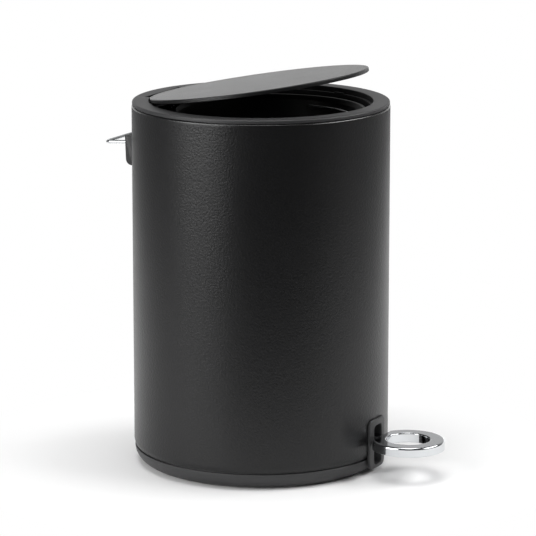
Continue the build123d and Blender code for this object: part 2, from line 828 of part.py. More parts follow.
# Bracket for the carrying loop
handle_back = body_radius + handle_proud
pivot_y = body_radius + loop_pivot_proud
pivot_z = handle_top - loop_pivot_drop
handle_screw_z = handle_bottom + handle_screw_rise
with BuildPart() as handle_bracket:
    with BuildSketch(Plane.YZ):
        with BuildLine():
            back_face = Line(
                (handle_back, handle_top), (handle_back - handle_taper, handle_bottom + handle_round)
            )
            bottom_round = TangentArc(
                back_face @ 1,
                (handle_back - handle_taper - handle_round, handle_bottom),
                tangent=back_face % 1,
            )
            Polyline(
                bottom_round @ 1,
                (body_radius / 2, handle_bottom),
                (body_radius / 2, handle_top),
                back_face @ 0,
            )
        make_face()
    extrude(amount=handle_half, both=True)
    fillet(handle_bracket.edges().filter_by(Axis.X).group_by(Axis.Z)[-1].sort_by(Axis.Y)[-1], handle_edge)
    fillet(handle_bracket.faces().sort_by(Axis.X)[0].edges().group_by(Axis.Y)[-1], handle_edge)
    with BuildSketch(Plane.XY.offset(handle_bottom)):
        Circle(body_radius + plug_gap)
    extrude(amount=handle_height, mode=Mode.SUBTRACT)
    # Channels in which the loop's legs swing up, and the bores for its ends
    channel_floor = pivot_z - loop_channel_depth
    channel_middle = loop_half + (loop_wire + 2 * free_gap - loop_channel) / 2
    with BuildSketch(Plane.XY.offset(channel_floor)):
        with Locations((0, pivot_y - loop_channel_depth + body_radius / 2)):
            with GridLocations(2 * channel_middle, 1, 2, 1):
                Rectangle(loop_channel, body_radius)
    extrude(amount=handle_height, mode=Mode.SUBTRACT)
    with BuildSketch(Plane.YZ):
        with Locations((pivot_y, pivot_z)):
            Circle(loop_wire / 2 + slip)
    extrude(amount=loop_half, both=True, mode=Mode.SUBTRACT)
    with BuildSketch(Plane.XZ.offset(-body_radius / 2)):
        with Locations((0, handle_screw_z)):
            with GridLocations(2 * handle_screw_half, 1, 2, 1):
                Circle(screw_diameter / 2 + slip)
    extrude(amount=-body_radius / 2 - handle_screw_depth - free_gap, mode=Mode.SUBTRACT)
handle_bracket.part.label = "handle_bracket"
export_step(handle_bracket.part, "parts/handle_bracket.step")


# Wire loop, resting on the floors of its channels
loop_plane = Plane(
    origin=(0, pivot_y, pivot_z),
    x_dir=(1, 0, 0),
    z_dir=(0, sin(radians(loop_droop)), cos(radians(loop_droop))),
)
with BuildPart() as carry_loop:
    with BuildLine(loop_plane) as loop_path:
        FilletPolyline(
            (loop_half - loop_pin, 0),
            (loop_half, 0),
            (loop_half, loop_reach),
            (-loop_half, loop_reach),
            (-loop_half, 0),
            (-loop_half + loop_pin, 0),
            radius=[loop_bend, loop_corner, loop_corner, loop_bend],
        )
    with BuildSketch(Plane(origin=loop_path.line @ 0, z_dir=loop_path.line % 0)):
        Circle(loop_wire / 2)
    sweep()
carry_loop.part.label = "carry_loop"
export_step(carry_loop.part, "parts/carry_loop.step")


# Screws of the carrying bracket, put in from inside the can
with BuildPart() as handle_screws:
    head_seat = sqrt(inner_radius**2 - (handle_screw_half + screw_head / 2) ** 2)
    with BuildSketch(Plane.XZ.offset(-head_seat)):
        with Locations((0, handle_screw_z)):
            with GridLocations(2 * handle_screw_half, 1, 2, 1):
                Circle(screw_head / 2)
    extrude(amount=screw_head_height)
    fillet(handle_screws.edges().group_by(Axis.Y)[0], screw_head_height / 3)
    with BuildSketch(Plane.XZ.offset(-head_seat)):
        with Locations((0, handle_screw_z)):
            with GridLocations(2 * handle_screw_half, 1, 2, 1):
                Circle(screw_diameter / 2)
    extrude(amount=head_seat - body_radius - handle_screw_depth)
handle_screws.part.label = "handle_screws"
export_step(handle_screws.part, "parts/handle_screws.step")
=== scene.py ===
"""Studio picture of a small pedal bin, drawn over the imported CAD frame.

Each operator makes one piece of the bin, or a group of like pieces, as smooth surfaces worked out
from the frame's own sizes, and gives it a material made of procedural nodes. Lengths are metres,
the pedal points to -Y and +Z is up.
"""
import json
from math import asin, cos, pi, radians, sin

import bmesh
import bpy
import numpy as np
from bpy.props import FloatProperty, FloatVectorProperty, PointerProperty
from bpy.types import Operator, Panel, PropertyGroup
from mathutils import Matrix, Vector


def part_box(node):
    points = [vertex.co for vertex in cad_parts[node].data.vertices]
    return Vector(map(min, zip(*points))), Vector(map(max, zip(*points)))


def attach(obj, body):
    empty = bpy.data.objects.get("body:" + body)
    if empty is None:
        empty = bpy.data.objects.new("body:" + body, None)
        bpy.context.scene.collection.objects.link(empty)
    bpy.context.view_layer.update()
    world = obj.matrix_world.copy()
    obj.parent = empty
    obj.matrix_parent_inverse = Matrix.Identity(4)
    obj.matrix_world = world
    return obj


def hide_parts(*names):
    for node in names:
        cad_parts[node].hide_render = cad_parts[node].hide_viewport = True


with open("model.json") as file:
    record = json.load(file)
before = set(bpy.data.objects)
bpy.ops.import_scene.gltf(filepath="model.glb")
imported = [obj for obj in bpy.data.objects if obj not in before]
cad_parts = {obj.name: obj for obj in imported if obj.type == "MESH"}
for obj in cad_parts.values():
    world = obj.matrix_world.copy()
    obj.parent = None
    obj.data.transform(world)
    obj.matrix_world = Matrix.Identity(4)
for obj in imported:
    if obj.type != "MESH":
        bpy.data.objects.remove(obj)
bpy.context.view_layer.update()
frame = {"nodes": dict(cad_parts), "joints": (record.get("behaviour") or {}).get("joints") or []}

bl_info = {
    "name": "Pedal Bin",
    "version": (1, 0, 0),
    "blender": (4, 5, 0),
    "location": "View3D > Sidebar > Pedal Bin",
    "description": "Builds a small pedal bin and its studio over the CAD frame",
    "category": "Object",
}

MM = 0.001
WHITE = (1, 1, 1, 1)

# Play between the can's wall and what is fixed on it
SKIN_GAP = 0.05 * MM

# Steps of an arc, a small edge, a wire's domed end and a full turn
ARC_STEPS = 8
EDGE_STEPS = 5
DOME_STEPS = 6
TURN_STEPS = 384

# Angles in degrees past which an edge is drawn sharp, on a piece and on a wire
CREASE = 35.0
WIRE_CREASE = 60.0

JOINTS = {joint["name"]: joint for joint in frame["joints"]}


# Properties


def srgb(code):
    """Linear colour of a six-digit sRGB code."""
    parts = [int(code[i : i + 2], 16) / 255 for i in (0, 2, 4)]
    return tuple(p / 12.92 if p <= 0.04045 else ((p + 0.055) / 1.055) ** 2.4 for p in parts)


def length(name, description, millimetres):
    """A length property, given in millimetres and kept in metres."""
    return FloatProperty(
        name=name, description=description, default=millimetres * MM, min=0.0, precision=4, unit="LENGTH"
    )


def colour(name, description, code):
    """A colour property, given as an sRGB code."""
    return FloatVectorProperty(
        name=name, description=description, default=srgb(code), size=3, min=0.0, max=1.0, subtype="COLOR"
    )


def angle(name, description, degrees):
    """An angle property, given in degrees."""
    return FloatProperty(name=name, description=description, default=radians(degrees), subtype="ANGLE")


def amount(name, description, default):
    """A plain number property."""
    return FloatProperty(name=name, description=description, default=default, min=0.0)


class PEDALBIN_PG_sizes(PropertyGroup):
    """Sizes that the frame's boxes don't give."""

    sheet: length("Sheet", "Thickness of the can's steel sheet", 0.8)
    curl: length("Curl", "Radius of the can's top edge", 1.2)
    lip: length("Lip", "How far the can's top edge is turned in", 2.8)
    notch_half: length("Notch half width", "Half the cut-out in the can behind the slot frame", 6.85)
    notch_top: length("Notch top", "Height of the top of that cut-out", 33.6)
    foot_roll: length("Foot roll", "How far the can's lower edge is rolled in", 0.9)
    foot_height: length("Foot height", "Height over which the can's foot is rolled in", 3.6)
    plug_gap: length("Plug gap", "Play between the can and the mouldings that plug into it", 0.2)
    seam_gap: length("Seam gap", "Height of the shadow gap between the can and the base", 0.9)
    base_edge: length("Base edge", "Radius of the base's lower edge", 10.4)
    base_lift: length("Base lift", "Height of the base's lower edge over the floor", 0.1)
    pad: length("Pad", "Radius of the foot pad", 70.0)
    base_chamfer: length("Base chamfer", "Radius of the base's other edges", 0.4)
    base_wall: length("Base wall", "Thickness of the base's wall", 2.0)
    base_notch: length("Base notch", "Height of the bottom of the cut-out in the base", 4.4)
    ring_edge: length("Ring edge", "Radius of the top ring's outer edge", 0.9)
    ring_groove: length("Ring groove", "Shadow gap between the can and the top ring", 0.4)
    groove_depth: length("Groove depth", "Depth of that gap", 1.0)
    opening: length("Opening", "Radius of the opening in the top ring", 73.0)
    opening_edge: length("Opening edge", "Radius of the opening's edge", 0.35)
    lip_drop: length("Lip drop", "Thickness of the top ring's lip over the hinge bay", 0.45)
    lip_half: length("Lip half width", "Half the width of the gap in that lip for the open lid", 23.3)
    lip_rear: length("Lip rear", "Distance of that gap's rear side from the can's axis", 73.6)
    ledge: length("Ledge", "Radius of the ledge under the lid", 71.0)
    ledge_drop: length("Ledge drop", "Depth of the ledge below the ring's top", 3.6)
    seat_drop: length("Seat drop", "Depth of the bucket's seat below the ring's top", 8.7)
    seat_wall: length("Seat wall", "Thickness of the bucket's seat", 1.6)
    bay_half: length("Bay half width", "Half the width of the hinge bay", 26.0)
    bay_rear: length("Bay rear", "Distance of the hinge bay's back wall from the can's axis", 75.1)
    ear: length("Ear", "Radius of the hinge's ears", 2.3)
    ear_width: length("Ear width", "Width of each of the hinge's ears", 5.5)
    buffer_angle: angle("Buffer angle", "Angle of the buffers from the front", 70.0)
    buffer_length: length("Buffer length", "Length of each rubber buffer on the ledge", 9.0)
    buffer_width: length("Buffer width", "Width of each rubber buffer", 1.4)
    buffer_height: length("Buffer height", "Height of each rubber buffer over the ledge", 0.8)
    lid_skin: length("Lid skin", "Thickness of the lid's sheet", 1.0)
    lid_rim: length("Lid rim", "Depth of the lid's turned-down rim", 2.7)
    lid_wall: length("Lid wall", "Thickness of the lid's turned-down rim", 0.8)
    lid_edge: length("Lid edge", "Radius of the lid's top edge", 0.7)
    hinge_drop: length("Hinge drop", "Depth of the hinge axis below the lid's top", 3.3)
    hinge_setback: length("Hinge setback", "Distance of the hinge axis from the lid's rear edge", 1.1)
    lid_notch: length("Lid notch", "Half the width of the gap in the lid's rim at the hinge", 28.0)
    bucket_wall: length("Bucket wall", "Thickness of the bucket's wall", 1.5)
    bucket_rim: length("Bucket rim", "Width of the bucket's turned-over rim", 2.4)
    bucket_slope: length("Bucket slope", "Height of the slope inside the bucket's rim", 3.0)
    bucket_foot: length("Bucket foot", "Radius of the bucket's bottom", 51.0)
    bucket_corner: length("Bucket corner", "Radius of the bucket's lower edge", 5.0)
    bail: length("Bail", "Radius of the bail's bow", 56.0)
    bail_wire: length("Bail wire", "Thickness of the bail's wire", 2.0)
    pedal_hole: length("Pedal hole", "Radius of the hole in the pedal", 14.3)
    pedal: length("Pedal", "Radius of the pedal's ring", 23.7)
    pedal_flat: length("Pedal flat", "Distance of the ring's flat side from its middle", 19.4)
    pedal_edge: length("Pedal edge", "Radius of the pedal's edges", 1.5)
    hole_edge: length("Hole edge", "Radius of the pedal hole's upper edge", 0.8)
    pedal_lift: length("Pedal lift", "How much the pedal's top stands over its CAD solid", 1.2)
    neck_half: length("Neck half width", "Half the width of the pedal's neck", 4.5)
    neck_thickness: length("Neck thickness", "Thickness of the pedal's neck", 4.2)
    frame_half: length("Frame half width", "Half the width of the slot frame", 11.4)
    frame_top: length("Frame top", "Height of the slot frame's upper end", 36.6)
    frame_corner: length("Frame corner", "Corner radius of the slot frame", 4.5)
    frame_edge: length("Frame edge", "Radius of the slot frame's front edge", 0.8)
    slot_half: length("Slot half width", "Half the width of the pedal's slot", 5.25)
    slot_bottom: length("Slot bottom", "Height of the slot's lower end", 6.0)
    slot_top: length("Slot top", "Height of the slot's upper end", 32.0)
    slot_corner: length("Slot corner", "Corner radius of the slot", 2.6)
    sleeve: length("Sleeve", "Thickness of the slot's sleeve", 1.3)
    bracket_round: length("Bracket round", "Radius of the carrying bracket's lower edge", 4.0)
    bracket_taper: length("Bracket taper", "How far the bracket's back slopes in", 0.8)
    bracket_edge: length("Bracket edge", "Radius of the bracket's other edges", 0.8)
    loop_wire: length("Loop wire", "Thickness of the carrying loop's wire", 2.4)
    loop_half: length("Loop half width", "Distance of the loop's legs from its middle", 18.3)
    loop_reach: length("Loop reach", "Length of the loop's legs", 18.6)


class PEDALBIN_PG_finish(PropertyGroup):
    """Colours and gloss of the bin's materials."""

    coat: colour("Coat", "Powder coat on the can and the lid", "060607")
    coat_high: colour("Coat, light", "Lighter flecks of the powder coat", "161617")
    edge_gloss: amount("Edge gloss", "Roughness of the can's curled edge as a share of its wall's", 0.75)
    plastic: colour("Plastic", "Black moulded plastic", "262627")
    plastic_high: colour("Plastic, light", "Lighter flecks of the plastic", "333334")
    # The bracket's colour is the black plastic painted darker: painted shade.
    bracket: colour("Bracket plastic", "Darker moulding of the carrying bracket", "141415")
    # The bucket's colour is its own dark plastic, made darker still as painted shade for the shade inside
    # the bin.
    bucket: colour("Bucket", "Dark grey plastic of the bucket", "070707")
    bucket_high: colour("Bucket, light", "Lighter flecks of the bucket's plastic", "0d0d0d")
    rubber: colour("Rubber", "Rubber of the foot pad, the buffers and the lever's stop", "161616")
    chrome: colour("Chrome", "Polished chrome", "d3d5d7")
    steel: colour("Steel", "Drawn steel wire", "e2e3e4")
    zinc: colour("Zinc", "Zinc-plated steel", "a4a8ac")


class PEDALBIN_PG_studio(PropertyGroup):
    """Camera and light."""

    azimuth: angle("Azimuth", "Camera's turn from the front", -63.0)
    distance: length("Distance", "Camera's level distance from the can's axis", 1973.5)
    height: length("Height", "Camera's height over the floor", 551.3)
    aim_side: length("Aim, sideways", "How far right of the axis the camera aims", 4.55)
    aim_height: length("Aim, height", "Height at which the camera aims", 127.96)
    lens: amount("Lens", "Focal length in millimetres on a 36 mm sensor", 206.53)
    tent: amount("Tent", "Brightness of the light tent", 1.0)
    key: amount("Key", "Power of the strip light on the left, in watts", 20.0)
    side: amount("Side", "Power of the soft box on the right, in watts", 21.0)
    top: amount("Top", "Power of the light overhead, in watts", 33.0)


# Geometry


def node_box(node):
    """Lowest and highest corner of a CAD node."""
    low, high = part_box(node)
    return np.array(low), np.array(high)


def rounded(corners, closed=True):
    """Outline through corners (x, y, radius) with a tangent arc at each one.

    With unit vectors u, v along the two sides and half the angle h between them, the arc lies about
    corner + (u + v) / |u + v| * r / sin h and starts r / tan h from the corner. One more point a
    little before and after the arc keeps the shading of the flats flat.
    """
    points = np.array([corner[:2] for corner in corners], float)
    share = np.linspace(0, 1, ARC_STEPS + 1)[:, None]
    parts = []
    for k, here in enumerate(points):
        radius = corners[k][2]
        if radius == 0 or (not closed and k in (0, len(corners) - 1)):
            parts.append(here[None])
            continue
        u = points[k - 1] - here
        v = points[(k + 1) % len(points)] - here
        room = min(np.linalg.norm(u), np.linalg.norm(v))
        u = u / np.linalg.norm(u)
        v = v / np.linalg.norm(v)
        half = np.arccos(np.clip(u @ v, -1, 1)) / 2
        cut = radius / np.tan(half)
        centre = here + (u + v) / np.linalg.norm(u + v) * radius / np.sin(half)
        turn = pi - 2 * half
        start = here + u * cut - centre
        end = here + v * cut - centre
        arc = centre + (np.sin((1 - share) * turn) * start + np.sin(share * turn) * end) / np.sin(turn)
        spare = 0.3 * max(0.0, min(radius, room - cut))
        parts += [(here + u * (cut + spare))[None], arc, (here + v * (cut + spare))[None]]
    return np.concatenate(parts)


def round_rectangle(half_width, bottom, top, radius, sides=6):
    """Rounded rectangle from its lower left corner, with the same number of points whatever its size."""
    turn = np.linspace(0, pi / 2, ARC_STEPS + 1)
    middle_z = (bottom + top) / 2
    half_height = (top - bottom) / 2
    outline = []
    for quarter, (sx, sz) in enumerate(((-1, -1), (1, -1), (1, 1), (-1, 1))):
        angle = pi + quarter * pi / 2 + turn
        centre = np.array((sx * (half_width - radius), middle_z + sz * (half_height - radius)))
        outline.append(centre + radius * np.stack((np.cos(angle), np.sin(angle)), axis=1))
    closed = np.concatenate(outline)
    following = np.roll(closed, -1, axis=0)
    corner_ends = (np.arange(len(closed)) + 1) % (ARC_STEPS + 1) == 0
    share = np.linspace(0, 1, sides, endpoint=False)
    filled = [
        point + (after - point) * share[:, None] if at_end else point[None]
        for point, after, at_end in zip(closed, following, corner_ends)
    ]
    return np.concatenate(filled)


def turn_angles(*extra):
    """Even angles from -pi to pi with the given angles among them; 0 is the front."""
    even = (np.arange(TURN_STEPS) + 0.5) * 2 * pi / TURN_STEPS - pi
    return np.sort(np.concatenate((even, extra)))


def turned(radius, height, angles, centre=0.0):
    """Grid of (r sin a, centre - r cos a, z); radius and height spread over rows and angles."""
    radius, height, angles = np.broadcast_arrays(radius, height, angles)
    return np.stack((radius * np.sin(angles), centre - radius * np.cos(angles), height), axis=-1)


def grid_faces(rows, columns, wrap_rows=False):
    """Quads of a grid of points, row by row. Columns wrap round."""
    i = np.arange(rows if wrap_rows else rows - 1)[:, None]
    j = np.arange(columns)
    row = i * columns
    above = (i + 1) % rows * columns
    right = (j + 1) % columns
    return np.stack((row + j, row + right, above + right, above + j), axis=-1).reshape(-1, 4)


def wall_faces(keep):
    """Quads of a wall between two grids of the same shape, with the cells outside keep left out.

    The first grid is the outside. Wherever a kept cell meets a dropped one or the grid's end,
    a strip joins the two sides, so that the wall is closed. Columns wrap round.
    """
    rows, columns = keep.shape[0] + 1, keep.shape[1]
    inner = rows * columns
    i, j = np.nonzero(keep)
    right = (j + 1) % columns
    row = i * columns
    above = row + columns
    cells = np.stack((row + j, row + right, above + right, above + j), 1)
    padded = np.pad(keep, ((1, 1), (0, 0)))
    parts = [cells, cells[:, ::-1] + inner]
    for below, sign in ((False, 1), (True, -1)):
        i, j = np.nonzero((padded[1:] != padded[:-1]) & (padded[:-1] == below))
        start = i * columns + j
        end = i * columns + (j + 1) % columns
        parts.append(np.stack((end, start, start + inner, end + inner), 1)[:, ::sign])
    before = np.roll(keep, 1, axis=1)
    for left, sign in ((False, 1), (True, -1)):
        i, j = np.nonzero((keep != before) & (before == left))
        start = i * columns + j
        end = start + columns
        parts.append(np.stack((start, end, end + inner, start + inner), 1)[:, ::sign])
    return np.concatenate(parts)


def turned_wall(outer, inner, angles, rows, gap):
    """Points and faces of a wall between two profiles (radius, height) turned about the can's axis.

    In the given rows of cells it is left open over the gap, two angles counted from the front.
    """
    outside = turned(*outer, angles)
    inside = turned(*inner, angles)
    middle = np.abs(angles + np.append(angles[1:], pi)) / 2
    keep = np.ones((len(outside) - 1, len(angles)), bool)
    keep[rows, (middle >= gap[0]) & (middle < gap[1])] = False
    return np.concatenate((outside, inside)), wall_faces(keep)


def wire(path, radius, normal, dome=0.4, sides=28):
    """Points and faces of a wire: path + radius (n cos t + b sin t), with b the tangent x n.

    The path lies flat across the normal n, and doubled points on it are dropped. The ends are domed
    by radius * dome.
    """
    path = np.asarray(path, float)
    steps = np.diff(path, axis=0)
    path = path[np.concatenate(([True], np.linalg.norm(steps, axis=1) > 1e-9))]
    steps = np.diff(path, axis=0)
    steps = steps / np.linalg.norm(steps, axis=1)[:, None]
    tangent = np.concatenate((steps[:1], steps[:-1] + steps[1:], steps[-1:]))
    tangent = tangent / np.linalg.norm(tangent, axis=1)[:, None]
    fall = np.linspace(0, pi / 2, DOME_STEPS + 1)[1:]
    depth = radius * dome * np.sin(fall)[:, None]
    spine = np.concatenate((path[0] - tangent[0] * depth[::-1], path, path[-1] + tangent[-1] * depth))
    along = np.pad(tangent, ((DOME_STEPS, DOME_STEPS), (0, 0)), mode="edge")
    width = np.concatenate((np.cos(fall)[::-1], np.ones(len(path)), np.cos(fall))) * radius
    normal = np.asarray(normal, float)
    across = np.cross(along, normal)
    turn = np.arange(sides) * 2 * pi / sides
    ring = np.cos(turn)[None, :, None] * normal + np.sin(turn)[None, :, None] * across[:, None]
    points = spine[:, None] + ring * width[:, None, None]
    return points, grid_faces(len(spine), sides)


def bar(outline, start, end):
    """Points and faces of a (y, z) outline carried along X, closed by flat ends."""
    count = len(outline)
    rows = [np.column_stack((np.full(count, x), outline)) for x in (start, end)]
    side = grid_faces(2, count)
    caps = [list(range(count)), list(range(2 * count - 1, count - 1, -1))]
    return np.concatenate(rows), side.tolist() + caps


def joined(*shapes):
    """One set of points and faces from several."""
    points = []
    faces = []
    count = 0
    for shape, polygons in shapes:
        shape = shape.reshape(-1, 3)
        polygons = polygons.tolist() if isinstance(polygons, np.ndarray) else polygons
        faces += [[corner + count for corner in polygon] for polygon in polygons]
        points.append(shape)
        count += len(shape)
    return np.concatenate(points), faces


def new_object(name, data):
    """A new object in the scene."""
    made = bpy.data.objects.new(name, data)
    bpy.context.scene.collection.objects.link(made)
    return made


def make_piece(name, points, faces, material, body, nodes, crease=CREASE):
    """A closed, smooth-shaded piece that stands for the CAD nodes and moves with a body."""
    mesh = bpy.data.meshes.new(name)
    faces = faces.tolist() if isinstance(faces, np.ndarray) else faces
    mesh.from_pydata(points.reshape(-1, 3).tolist(), [], faces)
    work = bmesh.new()
    work.from_mesh(mesh)
    bmesh.ops.remove_doubles(work, verts=work.verts, dist=1e-7)
    bmesh.ops.delete(work, geom=[v for v in work.verts if not v.link_faces], context="VERTS")
    bmesh.ops.recalc_face_normals(work, faces=work.faces)
    work.to_mesh(mesh)
    work.free()
    mesh.shade_smooth()
    mesh.set_sharp_from_angle(angle=radians(crease))
    mesh.materials.append(material)
    piece = new_object(name, mesh)
    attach(piece, body)
    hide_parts(*nodes)


def dress(material, *nodes):
    """Gives CAD nodes that stay in the picture a material."""
    for node in nodes:
        for slot in frame["nodes"][node].material_slots:
            slot.material = material


# Materials


def add(tree, kind, inputs=None, **settings):
    """Adds one node with its settings, input values and the sockets that feed it."""
    node = tree.nodes.new(kind)
    for key, value in settings.items():
        setattr(node, key, value)
    for key, value in (inputs or {}).items():
        if isinstance(value, bpy.types.NodeSocket):
            tree.links.new(value, node.inputs[key])
        else:
            node.inputs[key].default_value = value
    return node


def empty_tree(owner):
    """The cleared node tree of a material or a world."""
    owner.use_nodes = True
    owner.node_tree.nodes.clear()
    return owner.node_tree


def new_material(name, inputs):
    """A material with its node tree, shader and object coordinates."""
    material = bpy.data.materials.get(name) or bpy.data.materials.new(name)
    tree = empty_tree(material)
    shader = add(tree, "ShaderNodeBsdfPrincipled", inputs)
    add(tree, "ShaderNodeOutputMaterial", {"Surface": shader.outputs["BSDF"]})
    place = add(tree, "ShaderNodeTexCoord").outputs["Object"]
    return material, tree, shader, place


def flecked(name, inputs, low, high, roughness, fleck, cloud, relief=None):
    """A material whose colour and roughness vary a little: fine flecks over broad clouds.

    fleck and cloud are their sizes in metres, and relief gives the flecks' bump as a strength and a height.
    """
    material, tree, shader, place = new_material(name, inputs)
    fine = add(tree, "ShaderNodeTexNoise", {"Vector": place, "Scale": 1 / fleck, "Detail": 2.0})
    fine = fine.outputs["Fac"]
    broad = add(tree, "ShaderNodeTexNoise", {"Vector": place, "Scale": 1 / cloud, "Detail": 3.0})
    shades = {0: fine, 6: (*low, 1.0), 7: (*high, 1.0)}
    blend = add(tree, "ShaderNodeMix", shades, data_type="RGBA")
    span = {"Value": broad.outputs["Fac"], "To Min": roughness[0], "To Max": roughness[1]}
    gloss = add(tree, "ShaderNodeMapRange", span)
    tree.links.new(blend.outputs[2], shader.inputs["Base Color"])
    tree.links.new(gloss.outputs["Result"], shader.inputs["Roughness"])
    if relief:
        bump = add(tree, "ShaderNodeBump", {"Strength": relief[0], "Distance": relief[1], "Height": fine})
        tree.links.new(bump.outputs["Normal"], shader.inputs["Normal"])
    return material


def toned(tone, share):
    """A colour made darker or lighter."""
    return [part * share for part in tone]


def powder_coat(finish, name):
    """Black powder coat: baked powder flows out into a soft skin of tiny bumps.

    The bumps break reflections up, so the sheet looks matte with broad, soft highlights. They are drawn
    1.3 mm wide, two to three times their real size, so that their grain still shows from a step away.
    """
    return flecked(
        name,
        {"IOR": 1.43},
        finish.coat,
        finish.coat_high,
        roughness=(0.31, 0.37),
        fleck=1.3 * MM,
        cloud=40 * MM,
        relief=(0.8, 0.2 * MM),
    )


def painted_sheen_above(material, level, share):
    """Painted highlight above the height level: the coat's sheen is raised over a curled edge.

    Within 0.3 mm its roughness falls to share and its sheen doubles. This is a painted sheen that draws
    the thin light line along the edge.
    """
    tree = material.node_tree
    shader = next(node for node in tree.nodes if node.type == "BSDF_PRINCIPLED")
    place = next(node for node in tree.nodes if node.type == "TEX_COORD").outputs["Object"]
    height = add(tree, "ShaderNodeSeparateXYZ", {"Vector": place}).outputs["Z"]
    band = {"Value": height, "From Min": level, "From Max": level + 0.3 * MM}
    fall = add(tree, "ShaderNodeMapRange", {**band, "To Min": 1.0, "To Max": share})
    # Painted sheen: the specular level rises from 0.5 to 1.0 over the curled edge.
    sheen = add(tree, "ShaderNodeMapRange", {**band, "To Min": 0.5, "To Max": 1.0})
    tree.links.new(sheen.outputs["Result"], shader.inputs["Specular IOR Level"])
    rough = shader.inputs["Roughness"].links[0].from_socket
    smooth = add(tree, "ShaderNodeMath", {0: rough, 1: fall.outputs["Result"]}, operation="MULTIPLY")
    tree.links.new(smooth.outputs["Value"], shader.inputs["Roughness"])


def moulded_plastic(name, low, high, roughness):
    """Injection-moulded plastic from a spark-eroded mould: an even, fine matte grain."""
    relief = (0.3, 0.05 * MM)
    return flecked(name, {"IOR": 1.49}, low, high, roughness, fleck=0.4 * MM, cloud=30 * MM, relief=relief)


def black_plastic(finish):
    """The dark moulded plastic of the base, the top ring and the slot frame: a soft, even sheen."""
    return moulded_plastic("Black moulded plastic", finish.plastic, finish.plastic_high, (0.42, 0.5))


def polished_chrome(finish):
    """Chrome plate over polished metal: mirror-like, with faint wiping marks in the gloss."""
    material, tree, shader, place = new_material("Polished chrome", {"Metallic": 1.0})
    smear = add(tree, "ShaderNodeTexNoise", {"Vector": place, "Scale": 1 / (9 * MM), "Detail": 4.0})
    smear = smear.outputs["Fac"]
    span = {"Value": smear, "From Min": 0.3, "From Max": 0.7, "To Min": 0.05, "To Max": 0.1}
    gloss = add(tree, "ShaderNodeMapRange", span)
    shades = {0: smear, 6: (*finish.chrome, 1.0), 7: (*toned(finish.chrome, 0.94), 1.0)}
    tint = add(tree, "ShaderNodeMix", shades, data_type="RGBA")
    tree.links.new(gloss.outputs["Result"], shader.inputs["Roughness"])
    tree.links.new(tint.outputs[2], shader.inputs["Base Color"])
    return material


def drawn_wire(finish):
    """Wire pulled through a die: small light and dark flecks and a soft metal sheen."""
    low = toned(finish.steel, 0.85)
    gloss = (0.16, 0.26)
    return flecked("Drawn steel wire", {"Metallic": 1.0}, low, finish.steel, gloss, 0.5 * MM, 6 * MM)


def zinc_plate(finish):
    """Zinc plate on pressed steel: a bluish grey with a faint cloudy bloom."""
    low = toned(finish.zinc, 0.8)
    gloss = (0.28, 0.42)
    return flecked("Zinc-plated steel", {"Metallic": 1.0}, low, finish.zinc, gloss, 0.8 * MM, 5 * MM)


def soft_rubber(finish):
    """Moulded rubber: dull, with a dusty bloom in the grain."""
    high = toned(finish.rubber, 1.6)
    gloss = (0.7, 0.85)
    return flecked("Soft rubber", {"IOR": 1.5}, finish.rubber, high, gloss, 0.5 * MM, 12 * MM)


# Operators


class PEDALBIN_OT_can(Operator):
    """Rolled steel can with its top edge curled in and a cut-out for the pedal's slot"""

    bl_idname = "pedalbin.can"
    bl_label = "Can"

    def execute(self, context):
        """The foot is rolled in by roll (1 - t)^2 at the height t; the top edge is a quarter round."""
        sizes = context.scene.pedalbin_sizes
        low, high = node_box("shell")
        radius, foot, top = high[0], low[2], high[2]
        notch = asin(sizes.notch_half / radius)
        angles = turn_angles(-notch, notch)
        rise = np.linspace(0, 1, ARC_STEPS + 1)
        foot_r = radius - sizes.foot_roll * (1 - rise) ** 2
        turn = rise * pi / 2
        curl_r = radius - sizes.curl
        curl_z = top - sizes.curl
        bend = sizes.curl - sizes.sheet
        heights = np.concatenate((foot + sizes.foot_height * rise, (sizes.notch_top, curl_z - sizes.curl)))
        outer_z = np.concatenate((heights, curl_z + sizes.curl * np.sin(turn), (top,)))
        inner_z = np.concatenate((heights, curl_z + bend * np.sin(turn), (top - sizes.sheet,)))
        wall_r = np.concatenate((foot_r, (radius, radius)))
        outer = np.concatenate((wall_r, curl_r + sizes.curl * np.cos(turn), (radius - sizes.lip,)))
        inner = np.concatenate((wall_r - sizes.sheet, curl_r + bend * np.cos(turn), (radius - sizes.lip,)))
        outside = (outer[:, None], outer_z[:, None])
        inside = (inner[:, None], inner_z[:, None])
        points, faces = turned_wall(outside, inside, angles, slice(len(foot_r)), (0, notch))
        finish = context.scene.pedalbin_finish
        coat = powder_coat(finish, "Black powder coat on the can")
        # Painted highlight: a light line along the can's curled edge, drawn by raising its sheen there.
        painted_sheen_above(coat, curl_z, finish.edge_gloss)
        make_piece("Can", points, faces, coat, "can", ["shell"])
        return {"FINISHED"}


